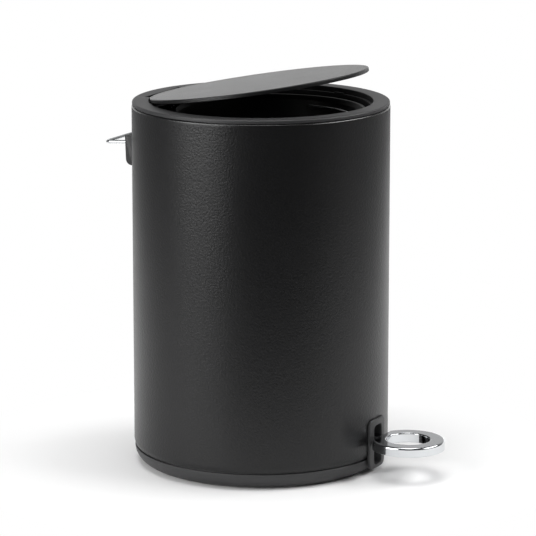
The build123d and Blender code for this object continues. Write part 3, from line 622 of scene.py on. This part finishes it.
class PEDALBIN_OT_base(Operator):
    """Moulded base that plugs into the can, with its non-slip foot pad"""

    bl_idname = "pedalbin.base"
    bl_label = "Base"

    def execute(self, context):
        """A profile turned about the axis: a big round at the foot and a shadow gap below the can."""
        sizes = context.scene.pedalbin_sizes
        finish = context.scene.pedalbin_finish
        high = node_box("base")[1]
        radius, foot, top = high[0], sizes.base_lift, high[2]
        can_low, can_high = node_box("shell")
        shoulder = can_low[2] - sizes.seam_gap
        plug = can_high[0] - sizes.sheet - sizes.foot_roll - sizes.plug_gap
        edge = sizes.base_edge
        wall = sizes.base_wall
        middle = np.array((radius - edge, foot + edge))
        split = asin((sizes.base_notch - middle[1]) / edge)
        lower_turn = np.linspace(-pi / 2, split, ARC_STEPS + 1)
        turn = np.concatenate((lower_turn, np.linspace(split, 0, ARC_STEPS + 1)[1:]))
        arc = np.column_stack((np.cos(turn), np.sin(turn)))
        chamfer = sizes.base_chamfer
        upper = rounded(
            [
                (radius, middle[1], 0),
                (radius, shoulder, chamfer),
                (plug, shoulder, 0),
                (plug, top, chamfer),
                (plug - wall / 2, top, 0),
            ],
            closed=False,
        )[1:]
        pad_low, pad_high = node_box("foot_pad")
        recess = sizes.pad + sizes.plug_gap
        pad_foot, roof = pad_low[2], pad_high[2]
        under = np.array(((0, roof), (recess, roof), (recess, foot)))
        outer = np.concatenate((under, middle + edge * arc, upper))
        floor = roof + wall
        shaft = np.linspace((plug - wall, middle[1] + wall), (plug - wall, top), len(upper))
        floor_line = ((0, floor), (recess - wall, floor), (recess, floor))
        inner = np.concatenate((floor_line, middle + (edge - wall) * arc, shaft))
        notch = asin(sizes.notch_half / radius)
        angles = turn_angles(-notch, notch)
        outside = (outer[:, :1], outer[:, 1:])
        inside = (inner[:, :1], inner[:, 1:])
        notched = slice(len(under) - 1 + len(lower_turn), None)
        points, faces = turned_wall(outside, inside, angles, notched, (0, notch))
        make_piece("Base", points, faces, black_plastic(finish), "can", ["base"])
        side = sizes.pad
        corners = [(0, pad_foot, 0), (side, pad_foot, chamfer), (side, roof, 0), (0, roof, 0)]
        pad = rounded(corners, closed=False)
        points = turned(pad[:, :1], pad[:, 1:], turn_angles())
        faces = grid_faces(*points.shape[:2])
        make_piece("Foot_pad", points, faces, soft_rubber(finish), "can", ["foot_pad"])
        return {"FINISHED"}


class PEDALBIN_OT_top_ring(Operator):
    """Moulded ring in the top of the can, with the lid's ledge, the hinge bay and the bucket's seat"""

    bl_idname = "pedalbin.top_ring"
    bl_label = "Top Ring"

    def execute(self, context):
        """The bay's wall is at min(rear / |cos a|, half / |sin a|) under the ring's lip, and the bucket's
        hole at s cos a + sqrt(h^2 - s^2 sin^2 a), with the bucket's shift s and the hole's radius h."""
        sizes = context.scene.pedalbin_sizes
        low, high = node_box("top_ring")
        radius, top, skirt = high[0], high[2], low[2]
        rim = node_box("shell")[1][2]
        bucket_low, bucket_high = node_box("bucket")
        shift = -(bucket_low[1] + bucket_high[1]) / 2
        seat_width, rod_gap, slot_half = 1.8 * MM, 0.9 * MM, radians(11.0)
        hole = bucket_high[0] - seat_width
        slot_front = bucket_high[1] + rod_gap
        bay_corner = np.arctan2(sizes.bay_half, sizes.bay_rear)
        bay_end = asin(sizes.bay_half / sizes.opening)
        lip_corner = np.arctan2(sizes.lip_half, sizes.lip_rear)
        lip_end = asin(sizes.lip_half / sizes.opening)
        marks = (slot_half, bay_corner, bay_end, lip_corner, lip_end)
        angles = turn_angles(*(sign * (pi - mark) for mark in marks for sign in (-1, 1)))
        # The least values keep the divisions finite where there is no bay.
        across = np.maximum(np.abs(np.sin(angles)), 1e-3)
        behind = np.maximum(-np.cos(angles), 0.2)
        rear = -np.cos(angles) > 0
        side = sizes.bay_half / across
        bay = np.minimum(sizes.bay_rear / behind, side)
        opening = np.where(rear, np.maximum(sizes.opening, bay), sizes.opening)
        gap = np.minimum(sizes.lip_rear / behind, sizes.lip_half / across)
        lip = np.where(rear, np.maximum(sizes.opening, gap), sizes.opening)
        ledge = np.where(rear, np.clip(side, sizes.ledge, opening), sizes.ledge)
        bore = shift * np.cos(angles) + np.sqrt(hole**2 - (shift * np.sin(angles)) ** 2)
        slot_rear = np.clip(sizes.ledge / behind, bore, ledge)
        slot_near = np.clip(slot_front / behind, bore, ledge)
        ledge_z = top - sizes.ledge_drop
        seat = top - sizes.seat_drop
        under = seat - sizes.seat_wall
        neck = radius - sizes.groove_depth
        plug = node_box("shell")[1][0] - sizes.lip - sizes.plug_gap
        skirt_in = plug - sizes.seat_wall
        foot = rim + sizes.ring_groove
        foot_edge = 0.15 * MM
        outside = rounded(
            [
                (neck, rim, 0),
                (neck, foot, 0),
                (radius, foot, foot_edge),
                (radius, top, sizes.ring_edge),
                (sizes.opening, top, 0),
            ],
            closed=False,
        )[:-1]
        turn = np.linspace(0, pi / 2, EDGE_STEPS + 1)[:, None]
        edge = sizes.opening_edge
        ones = np.ones_like(angles)
        lip_z = top - sizes.lip_drop
        steps = np.stack((lip, opening, opening, ledge, ledge, slot_rear, slot_near, bore))
        drops = np.array((lip_z, lip_z, ledge_z, ledge_z, seat, seat, seat, seat))[:, None]
        radii = np.concatenate((outside[:, :1] * ones, lip + edge * (1 - np.sin(turn)), steps))
        levels = np.concatenate((outside[:, 1:], top - edge * (1 - np.cos(turn)), drops)) * ones
        rows = len(radii)
        lower = rounded(
            [(plug, rim, 0), (plug, skirt, edge), (skirt_in, skirt, edge), (skirt_in, under, 0)],
            closed=False,
        )
        flat = rows - 3 - len(lower)
        hair = 0.1 * MM
        roof = np.linspace(skirt_in - hair, ledge + hair, flat)
        under_r = np.concatenate((lower[:, :1] * ones, roof, np.stack((slot_rear, slot_near, bore))))
        under_z = np.concatenate((lower[:, 1:] * ones, np.full((flat + 3, len(angles)), under)))
        shapes = [turned_wall((radii, levels), (under_r, under_z), angles, rows - 3, (pi - slot_half, pi))]
        hinge_y, hinge_z = JOINTS["lid_hinge"]["pos_m"][1:]
        half_turn = np.linspace(0, pi, 2 * ARC_STEPS + 1)
        ear = sizes.ear
        arch = np.column_stack((hinge_y + ear * np.cos(half_turn), hinge_z + ear * np.sin(half_turn)))
        root = seat - 2 * hair
        outline = np.concatenate((arch, [(hinge_y - ear, root), (hinge_y + ear, root)]))
        ear_inner = sizes.bay_half - sizes.ear_width
        shapes += [bar(outline, ear_inner, sizes.bay_half), bar(outline, -sizes.bay_half, -ear_inner)]
        points, faces = joined(*shapes)
        finish = context.scene.pedalbin_finish
        make_piece("Top_ring", points, faces, black_plastic(finish), "can", ["top_ring"])
        self.make_buffers(sizes, finish, ledge_z)
        return {"FINISHED"}

    def make_buffers(self, sizes, finish, ledge_z):
        """Two pads on the ledge: (r sin a - t cos a, -r cos a - t sin a, z), with t along the pad."""
        near, far = sizes.ledge, sizes.ledge + sizes.buffer_width
        top = ledge_z + sizes.buffer_height
        edge = sizes.buffer_width / 5
        outline = rounded([(near, ledge_z, 0), (far, ledge_z, 0), (far, top, edge), (near, top, edge)])
        straight, faces = bar(outline, -sizes.buffer_length / 2, sizes.buffer_length / 2)
        t, r, z = straight.T
        shapes = []
        for a in (-sizes.buffer_angle, sizes.buffer_angle):
            pad = np.column_stack((r * sin(a) - t * cos(a), -r * cos(a) - t * sin(a), z))
            shapes.append((pad, faces))
        points, faces = joined(*shapes)
        make_piece("Lid_buffers", points, faces, soft_rubber(finish), "can", ["lid_buffers"])


class PEDALBIN_OT_lid(Operator):
    """Flat sheet lid with a turned-down rim, over its moulded liner"""

    bl_idname = "pedalbin.lid"
    bl_label = "Lid"

    def execute(self, context):
        """A profile turned about the lid's middle, then tipped by the rest angle a about the hinge:
        (y cos a + z sin a, z cos a - y sin a). Two angles a hair apart make each end of the rim sharp."""
        sizes = context.scene.pedalbin_sizes
        finish = context.scene.pedalbin_finish
        radius = node_box("lid")[1][0]
        hinge_y, hinge_z = JOINTS["lid_hinge"]["pos_m"][1:]
        ajar = radians(-JOINTS["lid_hinge"]["range_deg"][0])
        top = sizes.hinge_drop
        under = top - sizes.lid_skin
        wall = radius - sizes.lid_wall
        corner = asin(sizes.lid_notch / radius)
        hair, sliver = 1e-5, 0.02 * MM
        angles = turn_angles(*(s * (pi - corner + d) for s in (-1, 1) for d in (-hair, hair)))
        rim = np.where(np.abs(angles) > pi - corner, under - sliver, top - sizes.lid_rim)
        roll = sizes.lid_wall / 2
        ones = np.ones_like(angles)
        skin = rounded([(radius, under, 0), (radius, top, sizes.lid_edge), (0, top, 0)], closed=False)[1:]
        steps = np.array((0.0, wall, wall, radius - roll, radius))[:, None]
        radii = np.concatenate((steps, skin[:, :1])) * ones
        rolled = np.minimum(rim + roll, top - sizes.lid_edge)
        edge = np.stack((under * ones, under * ones, rim, rim, rolled))
        levels = np.concatenate((edge, skin[:, 1:] * ones))
        flat = turned(radii, levels, angles)
        y = flat[..., 1] + sizes.hinge_setback - radius
        z = flat[..., 2]
        tipped_y = hinge_y + y * cos(ajar) + z * sin(ajar)
        tipped_z = hinge_z - y * sin(ajar) + z * cos(ajar)
        points = np.stack((flat[..., 0], tipped_y, tipped_z), axis=-1)
        coat = powder_coat(finish, "Black powder coat on the lid")
        make_piece("Lid", points, grid_faces(*points.shape[:2]), coat, "lid", ["lid"])
        liner = moulded_plastic("Liner plastic", finish.plastic, finish.plastic_high, (0.5, 0.6))
        dress(liner, "lid_liner")
        dress(drawn_wire(finish), "hinge_pin")
        return {"FINISHED"}


class PEDALBIN_OT_pedal(Operator):
    """Cast ring pedal with its neck, polished and chromed"""

    bl_idname = "pedalbin.pedal"
    bl_label = "Pedal"

    def execute(self, context):
        """The ring's outline is min(radius, flat / cos a) with a from the can's side. Two angles a hair
        apart make each end of the flat sharp."""
        sizes = context.scene.pedalbin_sizes
        low, high = node_box("pedal_ring")
        centre = low[1] + sizes.pedal
        bend = np.arccos(sizes.pedal_flat / sizes.pedal)
        hair = 1e-4
        angles = turn_angles(*(s * (pi - bend + d) for s in (-1, 1) for d in (-hair, hair)))
        outline = np.minimum(sizes.pedal, sizes.pedal_flat / np.maximum(-np.cos(angles), 1e-3))
        outline = np.where(-np.cos(angles) > 0, outline, sizes.pedal)
        top = high[2] + sizes.pedal_lift
        bottom = low[2] + sizes.pedal_lift / 2
        edge = sizes.pedal_edge
        low_edge = edge / 5
        section = rounded(
            [
                (sizes.pedal_hole, bottom, low_edge),
                (sizes.pedal, bottom, low_edge),
                (sizes.pedal, top, edge),
                (sizes.pedal_hole, top, sizes.hole_edge),
            ]
        )
        outer_side = section[:, :1] > (sizes.pedal + sizes.pedal_hole) / 2
        radii = np.where(outer_side, section[:, :1] + outline - sizes.pedal, section[:, :1])
        ring = turned(radii, section[:, 1:], angles, centre)
        half = sizes.neck_half
        under = top - sizes.neck_thickness
        corners = [(-half, under, low_edge), (half, under, low_edge), (half, top, edge), (-half, top, edge)]
        neck = rounded(corners)
        root = 1.0 * MM
        stem, stem_faces = bar(neck, centre + sizes.pedal_flat - root, high[1])
        stem = stem[:, (1, 0, 2)]
        points, faces = joined((ring, grid_faces(*ring.shape[:2], wrap_rows=True)), (stem, stem_faces))
        chrome = polished_chrome(context.scene.pedalbin_finish)
        make_piece("Pedal", points, faces, chrome, "pedal", ["pedal_ring"])
        return {"FINISHED"}


class PEDALBIN_OT_slot_frame(Operator):
    """Moulded frame round the pedal's slot, with the sleeve that reaches into the can"""

    bl_idname = "pedalbin.slot_frame"
    bl_label = "Slot Frame"

    def execute(self, context):
        """A closed band of rounded rectangles: back edge, outer side, front face, slot and sleeve."""
        sizes = context.scene.pedalbin_sizes
        low, high = node_box("slot_bezel")
        can = node_box("shell")[1][0] + SKIN_GAP
        face = -low[1]
        back = -high[1]

        def outline(shape, grow, reach):
            """A rectangle (half width, bottom, top, corner), grown and bent round the can at the reach."""
            half, bottom, top, corner = shape
            flat = round_rectangle(half + grow, bottom - grow, top + grow, corner + grow)
            return np.column_stack((flat[:, 0], -np.sqrt(reach**2 - flat[:, 0] ** 2), flat[:, 1]))

        rim = (sizes.frame_half, low[2], sizes.frame_top, sizes.frame_corner)
        slot = (sizes.slot_half, sizes.slot_bottom, sizes.slot_top, sizes.slot_corner)
        edge, wall = sizes.frame_edge, sizes.sleeve
        lead = 0.7 * MM
        # Rows just outside the rounded edge keep the shading of the flats flat.
        rows = [outline(rim, 0, can), outline(rim, 0, face - edge * 1.1)]
        for turn in np.linspace(0, pi / 2, ARC_STEPS + 1):
            rows.append(outline(rim, -edge * (1 - cos(turn)), face - edge * (1 - sin(turn))))
        rows.append(outline(rim, -edge * 1.3, face))
        for grow, depth in ((1.4, 0.0), (1.0, 0.0), (0.3, 0.3), (0.0, 1.0)):
            rows.append(outline(slot, grow * lead, face - depth * lead))
        rows += [outline(slot, 0, back), outline(slot, wall, back), outline(slot, wall, can)]
        points = np.stack(rows)
        faces = grid_faces(*points.shape[:2], wrap_rows=True)
        plastic = black_plastic(context.scene.pedalbin_finish)
        make_piece("Slot_frame", points, faces, plastic, "can", ["slot_bezel"])
        return {"FINISHED"}


class PEDALBIN_OT_bucket(Operator):
    """Inner bucket with its turned-over rim, and its wire bail"""

    bl_idname = "pedalbin.bucket"
    bl_label = "Bucket"

    def execute(self, context):
        """A profile turned about the bucket's axis: tapered wall, turned-over rim and a slope inside it."""
        sizes = context.scene.pedalbin_sizes
        finish = context.scene.pedalbin_finish
        low, high = node_box("bucket")
        rim, foot, top = high[0], low[2], high[2]
        shift = (low[1] + high[1]) / 2
        lip, skirt = 1.2 * MM, 3.5 * MM
        mouth = rim - sizes.bucket_rim
        seat = top - skirt
        wall = sizes.bucket_wall
        profile = rounded(
            [
                (0, foot, 0),
                (sizes.bucket_foot, foot, sizes.bucket_corner),
                (mouth, top - lip, 0),
                (rim - lip, top - lip, 0),
                (rim - lip, seat, 0),
                (rim, seat, 0),
                (rim, top, lip / 2),
                (mouth, top, lip / 2),
                (mouth - wall, top - sizes.bucket_slope, lip / 2),
                (sizes.bucket_foot - wall, foot + wall, sizes.bucket_corner - wall),
                (0, foot + wall, 0),
            ],
            closed=False,
        )
        points = turned(profile[:, :1], profile[:, 1:], turn_angles(), shift)
        # The bucket's near-black colour is partly painted shade for the inside of the bin.
        plastic = moulded_plastic("Bucket plastic", finish.bucket, finish.bucket_high, (0.4, 0.5))
        faces = grid_faces(*points.shape[:2])
        make_piece("Bucket", points, faces, plastic, "can", ["bucket"])
        self.make_bail(sizes, finish, shift)
        return {"FINISHED"}

    def make_bail(self, sizes, finish, shift):
        """A bow of the bail's radius R between two level ends, joined by bends of radius b about
        (sqrt((R + b)^2 - b^2), -b)."""
        height = JOINTS["bail_swing"]["pos_m"][2]
        tip = node_box("bucket_bail")[1][0]
        radius = sizes.bail
        bend = 2.5 * MM
        middle = np.sqrt((radius + bend) ** 2 - bend**2)
        lean = asin(bend / (radius + bend))
        turn = np.linspace(pi / 2, pi - lean, ARC_STEPS + 1)
        bow = np.linspace(-lean, -pi + lean, TURN_STEPS // 4 + 1)
        corner = np.column_stack((middle + bend * np.cos(turn), -bend + bend * np.sin(turn)))
        right = np.concatenate((((tip, 0.0),), corner))
        left = right[::-1] * (-1, 1)
        curve = radius * np.column_stack((np.cos(bow), np.sin(bow)))
        flat = np.concatenate((right, curve[1:-1], left))
        path = np.column_stack((flat[:, 0], shift + flat[:, 1], np.full(len(flat), height)))
        points, faces = wire(path, sizes.bail_wire / 2, (0, 0, 1), dome=0.0)
        steel = drawn_wire(finish)
        make_piece("Bail", points, faces, steel, "bail", ["bucket_bail"], WIRE_CREASE)


class PEDALBIN_OT_handle(Operator):
    """Carrying bracket at the back, with its wire loop and screws"""

    bl_idname = "pedalbin.handle"
    bl_label = "Carrying Handle"

    def execute(self, context):
        sizes = context.scene.pedalbin_sizes
        finish = context.scene.pedalbin_finish
        self.make_bracket(sizes, finish)
        self.make_loop(sizes, finish)
        dress(zinc_plate(finish), "handle_screws")
        return {"FINISHED"}

    def make_bracket(self, sizes, finish):
        """A (y, z) outline carried along X: its front lies on the can at sqrt(r^2 - x^2), its back
        falls away in a quarter round at both ends, and two stretches are cut back for the loop's legs."""
        low, high = node_box("handle_bracket")
        can = node_box("shell")[1][0] + SKIN_GAP
        half, bottom, top, back = high[0], low[2], high[2], high[1]
        edge = sizes.bracket_edge
        inner, outer = 15.6 * MM, 19.8 * MM
        groove, groove_floor = 85.5 * MM, 206.3 * MM
        turn = np.linspace(0, pi / 2, EDGE_STEPS + 1)
        # Rows a hair apart make the sides of the grooves sharp.
        gap = 0.004 * MM
        middle = np.linspace(0, inner - gap, 7)
        grooved = np.linspace(inner + gap, outer - gap, 4)
        flats = np.concatenate((middle, grooved, (outer + gap,)))
        right = np.concatenate((flats, half - edge * (1 - np.sin(turn))))
        fall = np.concatenate((np.zeros(len(flats)), edge * (1 - np.cos(turn))))
        xs = np.concatenate((-right[:0:-1], right))
        fall = np.concatenate((fall[:0:-1], fall))
        low_edge = (back - sizes.bracket_taper, bottom, sizes.bracket_round)
        outline = rounded([low_edge, (back, top, edge), (groove, top, 0), (groove, bottom, 0)])
        section = np.repeat(outline[None], len(xs), axis=0)
        behind = section[..., 0] > groove + gap
        section[..., 0] -= np.where(behind, fall[:, None], 0)
        in_groove = (np.abs(xs) > inner) & (np.abs(xs) < outer)
        cut = in_groove[:, None] & (section[..., 1] > groove_floor)
        section[..., 1] = np.where(cut & behind, groove_floor, section[..., 1])
        front = np.repeat(np.sqrt(can**2 - xs**2)[:, None], 2, axis=1)
        front = np.stack((front, np.broadcast_to((top, bottom), front.shape)), -1)
        section = np.concatenate((section[:, :-1], front, section[:, -1:]), 1)
        rows, count = section.shape[:2]
        grid = np.concatenate((np.repeat(xs[:, None], count, 1)[..., None], section), axis=-1)
        caps = [list(range(count)), list(range(rows * count - 1, (rows - 1) * count - 1, -1))]
        faces = grid_faces(rows, count).tolist() + caps
        # Painted shade: the bracket is a darker copy of the black plastic, with flecks in the plain colour.
        plastic = moulded_plastic("Bracket plastic", finish.bracket, finish.plastic, (0.42, 0.5))
        make_piece("Carrying_bracket", grid, faces, plastic, "can", ["handle_bracket"])

    def make_loop(self, sizes, finish):
        """Two legs and a cross bar with round bends, and short pins that the loop swings on."""
        pivot_y, pivot_z = JOINTS["loop_swing"]["pos_m"][1:]
        leg, reach, thick = sizes.loop_half, sizes.loop_reach, sizes.loop_wire
        pin, bend, droop = 10.5 * MM, 3.5 * MM, radians(4.0)
        right = [(pin, 0, 0), (leg, 0, thick), (leg, reach, bend)]
        left = [(-x, y, radius) for x, y, radius in right[::-1]]
        x, out = rounded(right + left, closed=False).T
        path = np.column_stack((x, pivot_y + out * cos(droop), pivot_z - out * sin(droop)))
        points, faces = wire(path, thick / 2, (0, sin(droop), cos(droop)))
        nodes = ["carry_loop"]
        chrome = polished_chrome(finish)
        make_piece("Carrying_loop", points, faces, chrome, "loop", nodes, WIRE_CREASE)


class PEDALBIN_OT_works(Operator):
    """Lever, axle, push rod and the small parts that hold them"""

    bl_idname = "pedalbin.works"
    bl_label = "Lever and Rod"

    def execute(self, context):
        finish = context.scene.pedalbin_finish
        zinc = zinc_plate(finish)
        dress(zinc, "pedal_lever", "pedal_axle", "axle_bracket", "pedal_rivets")
        dress(zinc, "axle_clips", "upper_rod_clip", "lower_rod_clip", "pivot_screws")
        dress(drawn_wire(finish), "push_rod")
        dress(soft_rubber(finish), "lever_stop")
        return {"FINISHED"}


class PEDALBIN_OT_studio(Operator):
    """White floor, light tent, three soft lights and the camera"""

    bl_idname = "pedalbin.studio"
    bl_label = "Studio"

    def execute(self, context):
        """Each light has its width and height, and its place towards the camera, to its right and up."""
        studio = context.scene.pedalbin_studio
        towards = Vector((sin(studio.azimuth), -cos(studio.azimuth), 0))
        right = Vector((cos(studio.azimuth), sin(studio.azimuth), 0))
        self.make_camera(context, studio, towards, right)
        self.make_world(context)
        self.make_floor(towards, right)
        self.make_tent(studio, towards)
        for name, power, size, near, side, up in (
            ("Strip light", studio.key, (1.15, 1.1), 0.88, -1.21, 0.56),
            ("Side light", studio.side, (1.6, 0.5), 0.1, 1.45, 1.2),
            ("Top light", studio.top, (1.6, 1.6), -0.05, -0.15, 2.3),
        ):
            self.make_light(name, power, size, towards * near + right * side + Vector((0, 0, up)))
        return {"FINISHED"}

    def make_camera(self, context, studio, towards, right):
        """A camera in the photograph's place, aimed a little to the right of the can's axis."""
        data = bpy.data.cameras.new("Camera")
        data.sensor_fit = "HORIZONTAL"
        data.sensor_width = 36.0
        data.lens = studio.lens
        data.clip_start = 0.1
        data.clip_end = 50.0
        camera = new_object("Camera", data)
        camera.location = towards * studio.distance + Vector((0, 0, studio.height))
        aim = right * studio.aim_side + Vector((0, 0, studio.aim_height))
        camera.rotation_euler = (aim - camera.location).to_track_quat("-Z", "Y").to_euler()
        context.scene.camera = camera
        context.scene.view_settings.view_transform = "Standard"

    def make_world(self, context):
        """White behind everything for the camera, for mirrors and through glass, dim for other light."""
        world = bpy.data.worlds.new("White studio")
        context.scene.world = world
        tree = empty_tree(world)
        rays = add(tree, "ShaderNodeLightPath").outputs
        seen = rays["Is Camera Ray"]
        for ray in ("Is Glossy Ray", "Is Transmission Ray"):
            seen = add(tree, "ShaderNodeMath", {0: seen, 1: rays[ray]}, operation="MAXIMUM").outputs[0]
        strength = add(tree, "ShaderNodeMapRange", {"Value": seen, "To Min": 0.4, "To Max": 1.0})
        back = {"Color": WHITE, "Strength": strength.outputs["Result"]}
        back = add(tree, "ShaderNodeBackground", back)
        add(tree, "ShaderNodeOutputWorld", {"Surface": back.outputs["Background"]})

    def make_stage(self, name, radii, heights, material):
        """A surface (r sin a, -r cos a, z) round the can's axis that isn't part of the bin."""
        steps = TURN_STEPS // 4
        points = turned(radii, heights, np.arange(steps) * 2 * pi / steps)
        faces = grid_faces(len(radii), steps)[:, ::-1]
        mesh = bpy.data.meshes.new(name)
        mesh.from_pydata(points.reshape(-1, 3).tolist(), [], faces.tolist())
        mesh.materials.append(material)
        surface = new_object(name, mesh)
        return surface

    def soft_steps(self, tree, *steps):
        """Product of smooth steps, each a value, where it starts and ends, and what it goes from and to."""
        product = 1.0
        for value, start, end, low, high in steps:
            span = {"Value": value, "From Min": start, "From Max": end, "To Min": low, "To Max": high}
            step = add(tree, "ShaderNodeMapRange", span, interpolation_type="SMOOTHSTEP")
            factors = {0: product, 1: step.outputs["Result"]}
            product = add(tree, "ShaderNodeMath", factors, operation="MULTIPLY").outputs[0]
        return product

    def make_floor(self, towards, right):
        """White paper that fades into plain white for the camera away from the bin.

        Its white falls off towards the camera and to both sides, so that it throws little light up at the
        can's wall.
        """
        material = bpy.data.materials.new("White floor")
        tree = empty_tree(material)
        place = add(tree, "ShaderNodeTexCoord").outputs["Object"]
        far = add(tree, "ShaderNodeVectorMath", {0: place}, operation="LENGTH").outputs["Value"]
        ahead = add(tree, "ShaderNodeVectorMath", {0: place, 1: towards}, operation="DOT_PRODUCT")
        across = add(tree, "ShaderNodeVectorMath", {0: place, 1: right}, operation="DOT_PRODUCT")
        across = add(tree, "ShaderNodeMath", {0: across.outputs["Value"]}, operation="ABSOLUTE")
        fade = self.soft_steps(tree, (far, 0.13, 0.21, 0.0, 1.0))
        seen = add(tree, "ShaderNodeLightPath").outputs["Is Camera Ray"]
        share = add(tree, "ShaderNodeMath", {0: fade, 1: seen}, operation="MULTIPLY").outputs[0]
        in_front = (ahead.outputs["Value"], 0.12, 0.55, 0.96, 0.08)
        at_sides = (across.outputs[0], 0.35, 0.85, 1.0, 0.3)
        paper = add(tree, "ShaderNodeBsdfDiffuse", {"Color": self.soft_steps(tree, in_front, at_sides)})
        plain = add(tree, "ShaderNodeEmission", {"Color": WHITE, "Strength": 1.0})
        shaders = {0: share, 1: paper.outputs["BSDF"], 2: plain.outputs["Emission"]}
        mix = add(tree, "ShaderNodeMixShader", shaders)
        add(tree, "ShaderNodeOutputMaterial", {"Surface": mix.outputs["Shader"]})
        radii = np.array((0.0, 0.3, 0.8, 2.0, 7.0))[:, None]
        self.make_stage("Floor", radii, 0.0 * radii, material)

    def make_tent(self, studio, towards):
        """A light tent: bright low behind the bin, grey at the sides and dark behind the camera."""
        radius = 6.0
        material = bpy.data.materials.new("Light tent cloth")
        tree = empty_tree(material)
        place = add(tree, "ShaderNodeTexCoord").outputs["Object"]
        facing = add(tree, "ShaderNodeVectorMath", {0: place, 1: towards / radius}, operation="DOT_PRODUCT")
        facing = facing.outputs["Value"]
        level = add(tree, "ShaderNodeSeparateXYZ", {0: place}).outputs["Z"]
        behind = (facing, -0.35, -0.95, 0.38 * studio.tent, 2.1 * studio.tent)
        in_front = (facing, 0.4, 0.9, 1.0, 0.3)
        above = (level, 0.03 * radius, 0.2 * radius, 1.0, 0.25)
        light = self.soft_steps(tree, behind, in_front, above)
        cloth = add(tree, "ShaderNodeEmission", {"Color": WHITE, "Strength": light})
        add(tree, "ShaderNodeOutputMaterial", {"Surface": cloth.outputs["Emission"]})
        rise = np.linspace(0, pi / 2, 25)[:, None]
        tent = self.make_stage("Light tent", radius * np.cos(rise), radius * np.sin(rise), material)
        tent.visible_camera = False

    def make_light(self, name, power, size, place):
        """A soft box that points at the can's lower half and that the camera doesn't see."""
        data = bpy.data.lights.new(name, "AREA")
        data.shape = "RECTANGLE"
        data.size, data.size_y = size
        data.energy = power
        light = new_object(name, data)
        light.location = place
        light.visible_camera = False
        aim = Vector((0, 0, 0.1))
        light.rotation_euler = (aim - place).to_track_quat("-Z", "Y").to_euler()


OPERATORS = (
    PEDALBIN_OT_can,
    PEDALBIN_OT_base,
    PEDALBIN_OT_top_ring,
    PEDALBIN_OT_lid,
    PEDALBIN_OT_pedal,
    PEDALBIN_OT_slot_frame,
    PEDALBIN_OT_bucket,
    PEDALBIN_OT_handle,
    PEDALBIN_OT_works,
    PEDALBIN_OT_studio,
)


class PEDALBIN_PT_panel(Panel):
    """Buttons and sizes of the pedal bin"""

    bl_label = "Pedal Bin"
    bl_idname = "PEDALBIN_PT_panel"
    bl_space_type = "VIEW_3D"
    bl_region_type = "UI"
    bl_category = "Pedal Bin"

    def draw(self, context):
        for operator in OPERATORS:
            self.layout.operator(operator.bl_idname)
        for group in ("pedalbin_finish", "pedalbin_studio", "pedalbin_sizes"):
            values = getattr(context.scene, group)
            column = self.layout.column(align=True)
            for name in values.bl_rna.properties.keys():
                if name not in ("rna_type", "name"):
                    column.prop(values, name)


CLASSES = (PEDALBIN_PG_sizes, PEDALBIN_PG_finish, PEDALBIN_PG_studio) + OPERATORS + (PEDALBIN_PT_panel,)


def register():
    for item in CLASSES:
        bpy.utils.register_class(item)
    bpy.types.Scene.pedalbin_sizes = PointerProperty(type=PEDALBIN_PG_sizes)
    bpy.types.Scene.pedalbin_finish = PointerProperty(type=PEDALBIN_PG_finish)
    bpy.types.Scene.pedalbin_studio = PointerProperty(type=PEDALBIN_PG_studio)


def unregister():
    del bpy.types.Scene.pedalbin_studio
    del bpy.types.Scene.pedalbin_finish
    del bpy.types.Scene.pedalbin_sizes
    for item in reversed(CLASSES):
        bpy.utils.unregister_class(item)


def main():
    register()
    bpy.ops.pedalbin.can()
    bpy.ops.pedalbin.base()
    bpy.ops.pedalbin.top_ring()
    bpy.ops.pedalbin.lid()
    bpy.ops.pedalbin.pedal()
    bpy.ops.pedalbin.slot_frame()
    bpy.ops.pedalbin.bucket()
    bpy.ops.pedalbin.handle()
    bpy.ops.pedalbin.works()
    bpy.ops.pedalbin.studio()


if __name__ == "__main__":
    main()
